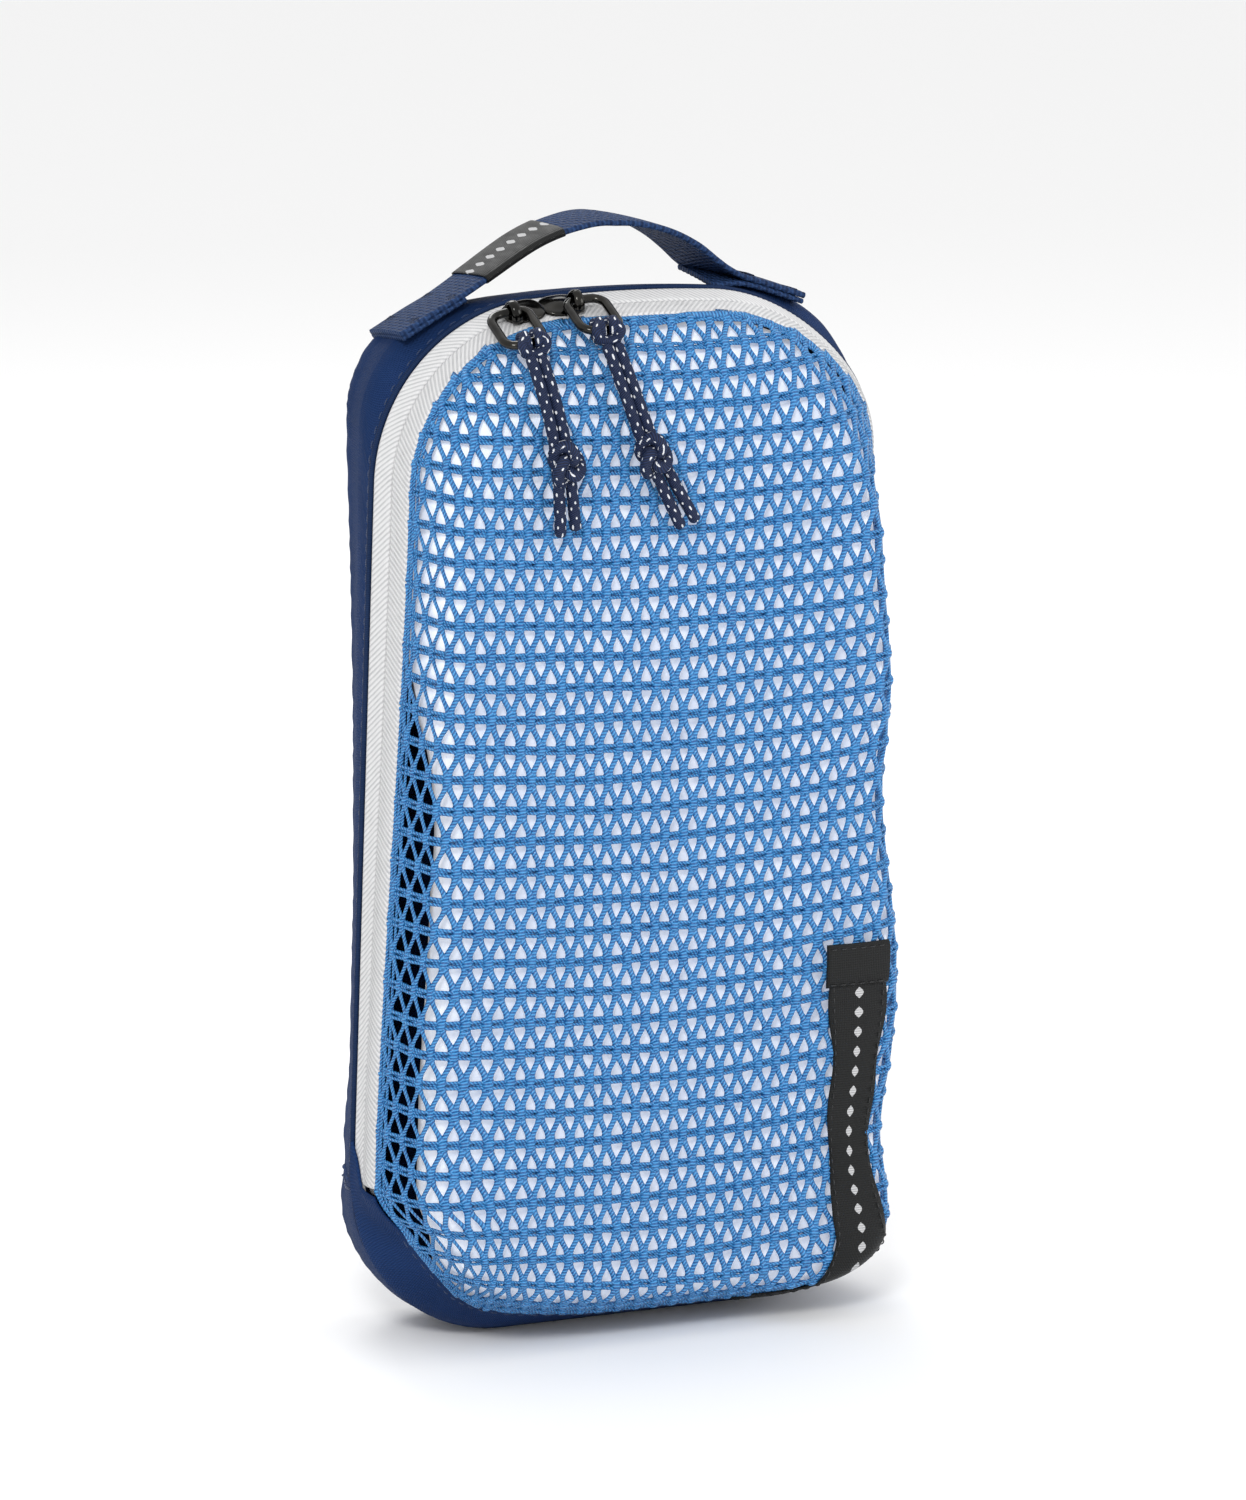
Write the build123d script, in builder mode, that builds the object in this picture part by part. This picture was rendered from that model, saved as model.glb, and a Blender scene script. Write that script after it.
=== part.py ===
"""Small upright packing cube: a navy fabric shell, a mesh front that opens on a curved zipper,
two zipper sliders with cord pulls, a webbing handle and a woven side label."""
from build123d import *
from math import acos, atan2, cos, degrees, hypot, pi, radians, sin, sqrt, tan
import os

os.makedirs("parts", exist_ok=True)

# Driving dimensions, millimetres.  +Z up, the front faces -Y, the origin is under the shell
# in the plane of the seam between the side fabric and the zipper.
HEIGHT = 235.0            # top of the shell
HALF_TOP = 59.0           # half width where the shoulders begin
HALF_BASE = 65.0          # half width above the bottom corners
CROWN_RADIUS = 300.0      # shallow arch across the top
SHOULDER_RADIUS = 40.5
BASE_RADIUS = 36.0
BACK_Y = 24.0             # where the back panel starts
FABRIC = 1.5
SEAM = 0.8                # width of a bound seam
ZIP_INSET = 4.2           # the zipper slopes inwards by this much
ZIP_DEPTH = 10.9          # over this much depth
ZIP_GAP = 0.8             # groove between the two half tapes
TAPE = 0.857
COIL = 1.286
COIL_WIDTH = 2.0
MESH = 1.2
FOLD_Z = 38.0             # the front folds open along this line
FOLD_GAP = 0.3
LEFT_ANGLE = 10.7         # where the left slider sits on the left shoulder, from its top
RIGHT_ANGLE = 3.27        # where the right slider sits on the crown
SLIDER_HALF = 4.0
CORD_RADIUS = 1.5
STRAP_WIDTH = 20.0
STRAP_THICK = 1.6
STRAP_Y = 13.0

# A front-view shape is (half width at the top, half width at the base, top, base, shoulder
# radius, base corner radius).
FRONT = (HALF_TOP, HALF_BASE, HEIGHT, 0.0, SHOULDER_RADIUS, BASE_RADIUS)
SIDE = (60.0, HALF_BASE, 235.5, 0.0, 28.0, 35.0)
BACK = (61.0, HALF_BASE, 235.5, 0.0, 24.0, 34.0)

# The mesh front swells forward in steps: (y, inset from FRONT, base corner radius, share of
# the skin thickness that an inner skin steps back).
SWELL = (
    (-ZIP_DEPTH - SEAM, ZIP_INSET, 36.0, 0.0),
    (-16.0, 7.6, 32.0, 0.7),
    (-21.0, 11.0, 28.0, 0.8),
    (-24.5, 15.0, 24.0, 1.0),
)
FACE_Y = SWELL[-1][0]

ZIP_WIDTH = hypot(ZIP_INSET, ZIP_DEPTH)
SLOPE_IN = ZIP_INSET / ZIP_WIDTH
SLOPE_OUT = ZIP_DEPTH / ZIP_WIDTH
REAR_EDGE = (ZIP_WIDTH - ZIP_GAP) / 2
FRONT_EDGE = (ZIP_WIDTH + ZIP_GAP) / 2


def arch(shape, inset=0.0):
    """A closed arch face: flat base, rounded bottom corners, leaning sides, round shoulders."""
    half_top, half_base, top, base, shoulder, corner = shape
    crown_z = top - CROWN_RADIUS
    top_x = half_top - shoulder
    top_z = crown_z + sqrt((CROWN_RADIUS - shoulder) ** 2 - top_x**2)
    low_x = half_base - corner
    low_z = base + corner
    span = hypot(top_x - low_x, top_z - low_z)
    side = atan2(top_z - low_z, top_x - low_x) - acos((corner - shoulder) / span)
    join = atan2(top_z - crown_z, top_x)
    corner -= inset
    shoulder -= inset
    crown = CROWN_RADIUS - inset

    def at(x, z, radius, angle):
        return (x + radius * cos(angle), z + radius * sin(angle))

    with BuildLine() as edge:
        Line((0, base + inset), (low_x, base + inset))
        ThreePointArc(
            (low_x, base + inset),
            at(low_x, low_z, corner, (side - radians(90)) / 2),
            at(low_x, low_z, corner, side),
        )
        Line(at(low_x, low_z, corner, side), at(top_x, top_z, shoulder, side))
        ThreePointArc(
            at(top_x, top_z, shoulder, side),
            at(top_x, top_z, shoulder, (side + join) / 2),
            at(top_x, top_z, shoulder, join),
        )
        ThreePointArc(
            at(top_x, top_z, shoulder, join),
            at(0, crown_z, crown, (join + radians(90)) / 2),
            (0, top - inset),
        )
        mirror(about=Plane.YZ)
    make_face(edge.edges())


def arch_loft(sections, extra, mode):
    """Loft through (y, shape, inset) sections, each moved in by extra."""
    faces = []
    for y, shape, inset in sections:
        with BuildSketch(Plane.XZ.offset(-y)) as face:
            arch(shape, inset + extra)
        faces.append(face.sketch)
    loft(faces, ruled=True, mode=mode)


def band(sections, wall):
    """A hollow band that follows the arch, with its wall measured inwards."""
    arch_loft(sections, 0.0, Mode.ADD)
    arch_loft(sections, wall, Mode.SUBTRACT)


def zip_point(along, out):
    """(y, inset) of a point on the sloping zipper: along its width, and out from its face."""
    return -(SLOPE_OUT * along + SLOPE_IN * out), SLOPE_IN * along - SLOPE_OUT * out


def zip_section(along, depth=0.0):
    y, inset = zip_point(along, 0.0)
    return (y, FRONT, inset + depth)


def swell(depth):
    """Sections of the mesh front, moved in by depth."""
    sections = []
    for y, inset, corner, share in SWELL:
        shape = (HALF_TOP, HALF_BASE, HEIGHT, 0.0, SHOULDER_RADIUS, corner)
        sections.append((y + share * depth, shape, inset + depth))
    return sections


def swollen_skin(depth, thickness):
    arch_loft(swell(depth), 0.0, Mode.ADD)
    arch_loft(swell(depth + thickness), 0.0, Mode.SUBTRACT)


def keep_above(z):
    split(bisect_by=Plane.XY.offset(z), keep=Keep.TOP)


def keep_below(z):
    split(bisect_by=Plane.XY.offset(z), keep=Keep.BOTTOM)


def save(part, name):
    part.label = name
    export_step(part, f"parts/{name}.step")


# --- Shell -----------------------------------------------------------------------------------

gusset_sections = (
    (SEAM, FRONT, 0.0),
    (9.0, SIDE, 0.0),
    (17.0, SIDE, 0.0),
    (BACK_Y, BACK, 4.5),
)
low_zip_sections = ((SEAM, FRONT, 0.0), (0.0, FRONT, 0.0), zip_section(ZIP_WIDTH))

with BuildPart() as side_gusset:
    band(gusset_sections, FABRIC)
    keep_above(FOLD_Z)
save(side_gusset.part, "side_gusset")

with BuildPart() as bottom_panel:
    band(gusset_sections, FABRIC)
    keep_below(FOLD_Z)

with BuildPart() as bottom_wrap:
    band(low_zip_sections, FABRIC)
    keep_below(FOLD_Z)

with BuildPart() as bottom_whole:
    add(bottom_panel.part)
    add(bottom_wrap.part)
save(bottom_whole.part, "bottom_panel")

with BuildPart() as back_panel:
    with BuildSketch(Plane.XZ.offset(-BACK_Y)):
        arch(BACK, 4.8)
    extrude(amount=-1.4)
save(back_panel.part, "back_panel")

with BuildPart() as back_binding:
    with BuildSketch(Plane.XZ.offset(-BACK_Y)):
        arch(BACK, 3.6)
    extrude(amount=-1.6)
    with BuildSketch(Plane.XZ.offset(-BACK_Y)):
        arch(BACK, 4.8)
    extrude(amount=-1.6, mode=Mode.SUBTRACT)
save(back_binding.part, "back_binding")

with BuildPart() as zipper_seam_rear:
    band(((SEAM, FRONT, -0.3), (0.0, FRONT, -0.3)), FABRIC + 0.3)
    keep_above(FOLD_Z)
save(zipper_seam_rear.part, "zipper_seam_rear")

# --- Zipper tapes and coils ------------------------------------------------------------------

with BuildPart() as zipper_tape_rear:
    band((zip_section(0.0), zip_section(REAR_EDGE)), TAPE)
    keep_above(FOLD_Z)
save(zipper_tape_rear.part, "zipper_tape_rear")

with BuildPart() as zipper_coil_rear:
    band((zip_section(REAR_EDGE - COIL_WIDTH, TAPE), zip_section(REAR_EDGE, TAPE)), COIL)
    keep_above(FOLD_Z)
save(zipper_coil_rear.part, "zipper_coil_rear")

with BuildPart() as zipper_tape_front:
    band((zip_section(FRONT_EDGE), zip_section(ZIP_WIDTH)), TAPE)
    keep_above(FOLD_Z + FOLD_GAP)
save(zipper_tape_front.part, "zipper_tape_front")

with BuildPart() as zipper_coil_front:
    band((zip_section(FRONT_EDGE, TAPE), zip_section(FRONT_EDGE + COIL_WIDTH, TAPE)), COIL)
    keep_above(FOLD_Z + FOLD_GAP)
save(zipper_coil_front.part, "zipper_coil_front")

tab_height = 8.0
tab_thick = 0.5
with BuildPart() as zipper_end_tabs:
    tab_rear = zip_point(2.4, tab_thick)
    tab_front = zip_point(9.2, tab_thick)
    band(
        ((tab_rear[0], FRONT, tab_rear[1]), (tab_front[0], FRONT, tab_front[1])),
        tab_thick / SLOPE_OUT,
    )
    keep_above(FOLD_Z - FOLD_GAP - tab_height)
    keep_below(FOLD_Z - FOLD_GAP)
save(zipper_end_tabs.part, "zipper_end_tabs")

# --- Mesh front, in two pieces that meet at the fold line --------------------------------------

seam_front_sections = (
    (-ZIP_DEPTH, FRONT, ZIP_INSET),
    (-ZIP_DEPTH - SEAM, FRONT, ZIP_INSET),
)

with BuildPart() as mesh_panel:
    swollen_skin(0.0, MESH)
    keep_above(FOLD_Z + FOLD_GAP)
save(mesh_panel.part, "mesh_panel")

with BuildPart() as mesh_panel_lower:
    swollen_skin(0.0, MESH)
    keep_below(FOLD_Z - FOLD_GAP)
save(mesh_panel_lower.part, "mesh_panel_lower")

with BuildPart() as mesh_seam:
    band(seam_front_sections, MESH)
    keep_above(FOLD_Z + FOLD_GAP)
save(mesh_seam.part, "mesh_seam")

with BuildPart() as mesh_seam_lower:
    band(seam_front_sections, MESH)
    keep_below(FOLD_Z - FOLD_GAP)
save(mesh_seam_lower.part, "mesh_seam_lower")

# The white filler sheet lies just behind the mesh.
sheet_depth = MESH + 0.3
with BuildPart() as filler_sheet:
    swollen_skin(sheet_depth, MESH)
    keep_above(FOLD_Z + FOLD_GAP)
save(filler_sheet.part, "filler_sheet")

with BuildPart() as filler_sheet_lower:
    swollen_skin(sheet_depth, MESH)
    keep_below(FOLD_Z - FOLD_GAP)
save(filler_sheet_lower.part, "filler_sheet_lower")

# --- Woven label down the front's right side ----------------------------------------------------

LABEL_LEFT = 35.0
LABEL_WIDTH = 13.0
LABEL_THICK = 0.4
LABEL_LOW = 21.5
LABEL_TOP = 80.0
TAB_TOP = 88.0


def front_plate(z_low, z_high, left, width, thick):
    with BuildSketch(Plane.XZ.offset(-FACE_Y)) as face:
        with Locations((left + width / 2, (z_low + z_high) / 2)):
            Rectangle(width, z_high - z_low)
    extrude(face.sketch, amount=thick)


with BuildPart() as label_strip:
    front_plate(FOLD_Z + FOLD_GAP, LABEL_TOP, LABEL_LEFT, LABEL_WIDTH, LABEL_THICK)
save(label_strip.part, "label_strip")

with BuildPart() as label_strip_lower:
    front_plate(LABEL_LOW, FOLD_Z - FOLD_GAP, LABEL_LEFT, LABEL_WIDTH, LABEL_THICK)
save(label_strip_lower.part, "label_strip_lower")

with BuildPart() as label_tab:
    front_plate(LABEL_TOP, TAB_TOP, LABEL_LEFT - 0.6, LABEL_WIDTH + 1.2, 2 * LABEL_THICK)
save(label_tab.part, "label_tab")

# --- Sliders and pulls ------------------------------------------------------------------------
# Each slider runs on an arc: the left one on the left shoulder, the right one on the crown.
# It is drawn at the top of that arc and turned into place about the arc's centre.

SHOULDER_X = HALF_TOP - SHOULDER_RADIUS
CROWN_Z = HEIGHT - CROWN_RADIUS
SHOULDER_Z = CROWN_Z + sqrt((CROWN_RADIUS - SHOULDER_RADIUS) ** 2 - SHOULDER_X**2)

BAR = 1.7                 # thickness of the pull ring's wire
BAR_ALONG = 7.6           # where the ring's near bar sits across the zipper
BAR_OUT = 2.7
RING_WIDTH = 10.6
RING_REACH = 12.6         # from the near bar to the far bar, centre to centre
RING_CORNER = 2.4
RING_OFFSET = 4.6         # from the slider's middle to the ring's middle, along the zipper
RING_DROP = 24.0          # the ring leans down from level by this angle
PLATE_REAR = 1.9
PLATE_FRONT = 9.45


def top_of_arc(z_centre, radius, along, out):
    """(y, z) at the top of an arc, for a point across and out from the zipper."""
    y, inset = zip_point(along, out)
    return (y, z_centre + radius - inset)


def zip_block(corners, x, z_centre, radius):
    """A face across the zipper, in the plane through the arc's axis."""
    with BuildSketch(Plane.YZ.offset(x)) as face:
        with BuildLine():
            Polyline(*[top_of_arc(z_centre, radius, a, o) for a, o in corners], close=True)
        make_face()
    return face.sketch


def rectangle(along_low, along_high, out_low, out_high):
    return (
        (along_low, out_low),
        (along_high, out_low),
        (along_high, out_high),
        (along_low, out_high),
    )


def slider(x, z_centre, radius, side):
    """Slider body: outer wing, centre post, inner wing under the front coil, and the eye."""
    # The post stands in the groove between the tapes, so its sides are square to the front.
    lean = SLOPE_IN / SLOPE_OUT
    low, high = -2.8, 0.4
    post = [
        (5.6 - lean * low, low),
        (6.08 - lean * low, low),
        (6.08 - lean * high, high),
        (5.6 - lean * high, high),
    ]
    parts = (
        (rectangle(PLATE_REAR, PLATE_FRONT, 0.2, 1.2), SLIDER_HALF),
        (post, 1.2),
        (rectangle(6.4, PLATE_FRONT, -3.3, -2.35), SLIDER_HALF),
    )
    for corners, half in parts:
        for way in (1, -1):
            revolve(
                zip_block(corners, x, z_centre, radius),
                axis=Axis((x, 0, z_centre), (0, way, 0)),
                revolution_arc=degrees(half / radius),
            )
    eye = (
        rectangle(5.75, 6.65, 0.6, 4.5),
        rectangle(8.55, PLATE_FRONT, 0.6, 4.5),
        rectangle(5.75, PLATE_FRONT, 3.65, 4.5),
    )
    for corners in eye:
        face = zip_block(corners, x + side * 2.2, z_centre, radius)
        extrude(face, amount=side * 1.7)


def ring_frame(x, z_centre, radius, side):
    """The ring's plane: origin at the near bar under the eye, local y down along the ring."""
    y, z = top_of_arc(z_centre, radius, BAR_ALONG, BAR_OUT)
    lean = radians(RING_DROP)
    centre_x = x + side * RING_OFFSET
    return Plane(
        origin=(centre_x, y, z), x_dir=(1, 0, 0), z_dir=(0, sin(lean), -cos(lean))
    )


def pull_ring(x, z_centre, radius, side):
    frame = ring_frame(x, z_centre, radius, side)
    with BuildSketch(frame) as outline:
        with Locations((0, RING_REACH / 2)):
            RectangleRounded(RING_WIDTH, RING_REACH + BAR, RING_CORNER)
            RectangleRounded(
                RING_WIDTH - 2 * BAR, RING_REACH - BAR, RING_CORNER - BAR + 0.4, mode=Mode.SUBTRACT
            )
    extrude(outline.sketch, amount=BAR / 2, both=True)


def cord_hitch(x, z_centre, radius, side):
    """The cord's loop around the ring's far bar."""
    frame = ring_frame(x, z_centre, radius, side)
    far = frame.from_local_coords((0, RING_REACH, 0))
    with BuildSketch(Plane.YZ.offset(far.X - 2.7)) as loop:
        with Locations((far.Y, far.Z)):
            Circle(3.0)
            Circle(BAR / 2, mode=Mode.SUBTRACT)
    extrude(loop.sketch, amount=5.4)


def turned(part, x, z_centre, angle):
    return part.rotate(Axis((x, 0, z_centre), (0, 1, 0)), -angle)


places = {
    "left": (-SHOULDER_X, SHOULDER_Z, SHOULDER_RADIUS, -1, LEFT_ANGLE),
    "right": (0.0, CROWN_Z, CROWN_RADIUS, 1, RIGHT_ANGLE),
}
for hand, (x, z_centre, radius, side, angle) in places.items():
    with BuildPart() as slider_body:
        slider(x, z_centre, radius, side)
    save(turned(slider_body.part, x, z_centre, angle), f"slider_{hand}")

    with BuildPart() as ring:
        pull_ring(x, z_centre, radius, side)
        fillet(ring.edges(), radius=0.7)
    save(turned(ring.part, x, z_centre, angle), f"pull_ring_{hand}")

    with BuildPart() as hitch:
        cord_hitch(x, z_centre, radius, side)
    hitch_part = turned(hitch.part, x, z_centre, angle)
    save(hitch_part, f"cord_hitch_{hand}")
    middle = hitch_part.center()
    print(f"{hand} hitch centre", round(middle.X, 2), round(middle.Y, 2), round(middle.Z, 2))

# --- Pull cords: two strands side by side from the hitch, through the knot, to the cut ends ------

CORD_ROUTES = {
    "left": (
        (-29.8, -22.8, 225.2),
        (-28.6, -27.6, 217.6),
        (-24.9, -27.6, 201.8),
        (-24.2, -27.6, 185.4),
    ),
    "right": (
        (-11.9, -22.8, 226.8),
        (-9.2, -27.6, 219.0),
        (-2.3, -27.6, 203.4),
        (3.4, -27.6, 187.4),
    ),
}
STRAND_OFFSET = 1.75


def bend_radii(points):
    """Each bend is 0.45 of the shorter run beside it, over the tangent of half the turn."""
    radii = []
    for before, corner, after in zip(points, points[1:], points[2:]):
        first = Vector(*corner) - Vector(*before)
        second = Vector(*after) - Vector(*corner)
        half_turn = radians(first.get_angle(second)) / 2
        radii.append(0.45 * min(first.length, second.length) / tan(half_turn))
    return radii


for hand, route in CORD_ROUTES.items():
    with BuildPart() as strands:
        for shift in (-STRAND_OFFSET, STRAND_OFFSET):
            points = [(x + shift, y, z) for x, y, z in route]
            radii = bend_radii(points)
            with BuildLine() as path:
                FilletPolyline(*points, radius=radii)
            start = path.line @ 0
            with BuildSketch(Plane(origin=start, z_dir=path.line % 0)):
                Circle(CORD_RADIUS)
            sweep(path=path.line)
            length = path.wire().length
            print(f"{hand} strand {length:.1f} mm, bends", [round(r, 1) for r in radii])
        tube = 2 * pi * CORD_RADIUS**2 * length
        print("  volume over section times length", round(strands.part.volume / tube, 4))
    save(strands.part, f"pull_cord_{hand}")

    knot_x, knot_y, knot_z = route[2]
    with BuildPart() as knot:
        with BuildSketch(Plane.XY.offset(knot_z - 4.3)):
            with Locations((knot_x, knot_y - 0.7)):
                Ellipse(3.9, 3.2)
        extrude(amount=8.6)
        fillet(knot.edges().filter_by(GeomType.ELLIPSE), radius=1.8)
    save(knot.part, f"cord_knot_{hand}")

# --- Handle -----------------------------------------------------------------------------------

STRAP_POINTS = (
    (-52.0, 227.4),
    (-38.0, 236.0),
    (-20.0, 245.6),
    (0.0, 249.8),
    (19.0, 245.2),
    (36.0, 235.0),
    (53.0, 227.6),
)


def strap(width, thickness):
    with BuildLine() as path:
        Spline(*[(x, STRAP_Y, z) for x, z in STRAP_POINTS])
    start = path.line @ 0
    with BuildSketch(Plane(origin=start, x_dir=(0, 1, 0), z_dir=path.line % 0)) as section:
        Rectangle(width, thickness)
    sweep(section.sketch, path=path.line)


with BuildPart() as handle_webbing:
    strap(STRAP_WIDTH, STRAP_THICK)
save(handle_webbing.part, "handle_webbing")

SLEEVE_LEFT = -33.0
SLEEVE_RIGHT = -15.0
with BuildPart() as handle_label:
    strap(STRAP_WIDTH + 1.0, STRAP_THICK + 1.0)
    split(bisect_by=Plane.YZ.offset(SLEEVE_LEFT), keep=Keep.TOP)
    split(bisect_by=Plane.YZ.offset(SLEEVE_RIGHT), keep=Keep.BOTTOM)
    add(handle_webbing.part, mode=Mode.SUBTRACT)
save(handle_label.part, "handle_label")


def strap_layer(points, thickness):
    """A flat layer of webbing under the strap, drawn along its underside."""
    (x1, z1), (x2, z2) = points
    with BuildSketch(Plane.XZ.offset(-STRAP_Y)) as face:
        with BuildLine():
            Polyline((x1, z1), (x2, z2), (x2, z2 - thickness), (x1, z1 - thickness), close=True)
        make_face()
    extrude(face.sketch, amount=STRAP_WIDTH / 2, both=True)


folds = {
    "left": ((-52.0, 226.8), (-38.6, 235.0)),
    "right": ((37.0, 233.4), (53.4, 226.4)),
}
for hand, points in folds.items():
    with BuildPart() as fold:
        strap_layer(points, 1.8)
        add(side_gusset.part, mode=Mode.SUBTRACT)
        add(handle_webbing.part, mode=Mode.SUBTRACT)
    save(fold.part, f"handle_fold_{hand}")

TACKS = ((-50.2, 229.2, 32.0), (-40.2, 235.6, 32.0), (39.6, 233.7, -24.0), (51.2, 228.4, -24.0))
with BuildPart() as handle_bartacks:
    for x, z, tilt in TACKS:
        lean = radians(tilt)
        tack_plane = Plane(origin=(x, STRAP_Y, z), x_dir=(0, 1, 0), z_dir=(-sin(lean), 0, cos(lean)))
        with BuildSketch(tack_plane):
            Rectangle(STRAP_WIDTH - 4, 1.2)
        extrude(amount=0.5, both=True)
save(handle_bartacks.part, "handle_bartacks")
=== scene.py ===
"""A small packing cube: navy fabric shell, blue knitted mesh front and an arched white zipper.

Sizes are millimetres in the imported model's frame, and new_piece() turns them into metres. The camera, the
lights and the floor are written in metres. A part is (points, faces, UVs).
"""

import math

import bmesh
import bpy
import numpy as np
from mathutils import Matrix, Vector


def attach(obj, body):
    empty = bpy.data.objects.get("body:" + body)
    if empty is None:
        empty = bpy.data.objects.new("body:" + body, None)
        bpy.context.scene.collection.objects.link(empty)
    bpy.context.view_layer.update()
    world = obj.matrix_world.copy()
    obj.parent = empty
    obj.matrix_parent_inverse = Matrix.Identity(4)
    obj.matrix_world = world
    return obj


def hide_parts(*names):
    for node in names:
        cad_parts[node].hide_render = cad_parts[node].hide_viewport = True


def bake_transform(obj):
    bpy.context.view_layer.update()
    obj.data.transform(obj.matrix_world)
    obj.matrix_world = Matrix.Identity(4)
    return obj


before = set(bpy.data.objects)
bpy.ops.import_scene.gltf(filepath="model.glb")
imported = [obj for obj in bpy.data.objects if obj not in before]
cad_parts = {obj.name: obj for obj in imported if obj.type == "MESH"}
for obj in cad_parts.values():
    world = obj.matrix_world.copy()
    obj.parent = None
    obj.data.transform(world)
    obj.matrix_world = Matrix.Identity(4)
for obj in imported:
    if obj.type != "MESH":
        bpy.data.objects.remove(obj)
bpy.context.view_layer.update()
random = np.random.default_rng(7)
MM = 0.001

# half width at the top and base, height of the top and base, radius of the shoulder and base corner
FRONT = (59.0, 65.0, 235.0, 0.0, 40.5, 36.0)
SIDE = (60.0, 65.0, 235.5, 0.0, 28.0, 35.0)
BACK = (61.0, 65.0, 235.5, 0.0, 24.0, 34.0)
CROWN_RADIUS = 300.0
FOLD_Z = 38.0  # the front folds here, between the two ends of the zipper
ZIP_SLOPE = (0.9332, 0.3596)  # forwards and inwards for each millimetre across the zipper
ZIP_CENTRE = 5.84  # across the zipper, where its two halves meet
RIDGE_STEP, RIDGE_SLANT = 1.3, 0.62  # spacing of the tape's woven ridges, and their slant
CORD_RADIUS, HITCH_RADIUS = 1.3, 1.22
STRAND_OFFSET = 1.28  # each strand lies this far beside the middle of its pair
CORD_ROUTES = {
    "left": ((-29.8, -22.8, 225.2), (-28.6, -27.4, 217.6), (-24.9, -27.6, 201.8), (-24.2, -27.6, 185.4)),
    "right": ((-11.9, -22.8, 226.8), (-10.2, -27.4, 218.6), (-4.4, -27.6, 202.4), (4.6, -27.6, 185.6)),
}
# the middle of each hitch, and its lean
HITCHES = {"left": ((-29.55, -19.57, 227.54), 10.7), "right": ((-12.22, -19.57, 229.44), 3.27)}
STRAP_POINTS = (
    (-50.6, 227.0), (-43, 231.2), (-35.5, 235.1), (-18.5, 244.8), (-6, 248.8), (2, 249.0), (9, 247.6),
    (14.5, 245.3), (19, 242.4), (22.6, 239.5), (26, 236.9), (30.5, 235.2), (37, 233.4), (46.2, 230.2),
)  # fmt: skip
# by place along the strap, how much lower its back edge sits than its front edge; negative is higher
STRAP_BANKS = (
    (-50, -38, -22, 0, 10, 16, 22, 26, 31, 36, 46),
    (2.0, 2.0, 1.2, -0.4, 0.6, 2.0, 3.8, 3.8, 1.0, 0.2, 0.3),
)
STRAP_Y, STRAP_HALF = 13.0, 10.0  # the middle of the strap, and half its width


# ---------------------------------------------------------------- camera, floor and light

CAMERA_AZIMUTH, CAMERA_ELEVATION, CAMERA_DISTANCE = -23.0, 11.65, 1.545
CAMERA_TARGET = Vector((0.0005, 0.0, 0.131))
CAMERA_LENS = 165.4


def add_camera():
    """The photo's camera, left of the middle and a little above."""
    a, e = math.radians(CAMERA_AZIMUTH), math.radians(CAMERA_ELEVATION)
    back = Vector((math.sin(a) * math.cos(e), -math.cos(a) * math.cos(e), math.sin(e)))
    data = bpy.data.cameras.new("camera")
    data.lens, data.sensor_width = CAMERA_LENS, 36.0
    camera = bpy.data.objects.new("camera", data)
    camera.location = CAMERA_TARGET + back * CAMERA_DISTANCE
    camera.rotation_mode = "QUATERNION"
    camera.rotation_quaternion = (-back).to_track_quat("-Z", "Y")
    bpy.context.scene.collection.objects.link(camera)
    bpy.context.scene.camera = camera


def add_light(name, place, size, watts):
    """A round lamp that points at the camera's target."""
    data = bpy.data.lights.new(name, "AREA")
    data.shape, data.size, data.energy = "DISK", size, watts
    lamp = bpy.data.objects.new(name, data)
    lamp.location = place
    lamp.rotation_mode = "QUATERNION"
    lamp.rotation_quaternion = (CAMERA_TARGET - Vector(place)).to_track_quat("-Z", "Y")
    bpy.context.scene.collection.objects.link(lamp)


def add_studio():
    """A white room with three soft lights and a pale floor."""
    world = bpy.data.worlds.new("studio")
    world.use_nodes = True
    world.node_tree.nodes["Background"].inputs["Color"].default_value = (1.0, 1.0, 1.0, 1.0)
    world.node_tree.nodes["Background"].inputs["Strength"].default_value = 0.95
    bpy.context.scene.world = world
    bpy.context.scene.view_settings.view_transform = "Standard"
    add_light("key", (-0.75, -1.25, 1.15), 0.45, 12.0)
    add_light("fill", (1.0, -1.1, 0.55), 0.7, 4.5)
    add_light("rim", (0.1, 0.9, 1.0), 0.6, 4.0)
    bpy.ops.mesh.primitive_plane_add(size=8.0, location=(0, 0, -0.0006))
    floor = bpy.context.object
    floor.name = "floor"
    floor.data.materials.append(plain_material("floor_pale", (0.93, 0.93, 0.93), 0.9))


# ---------------------------------------------------------------- materials


def plain_material(name, colour, roughness, **sockets):
    """A material of one colour. Other sockets are named with _ for each space."""
    material = bpy.data.materials.new(name)
    material.use_nodes = True
    shader = material.node_tree.nodes["Principled BSDF"]
    shader.inputs["Base Color"].default_value = (*colour, 1.0)
    shader.inputs["Roughness"].default_value = roughness
    for socket, value in sockets.items():
        shader.inputs[socket.replace("_", " ")].default_value = value
    return material


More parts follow.
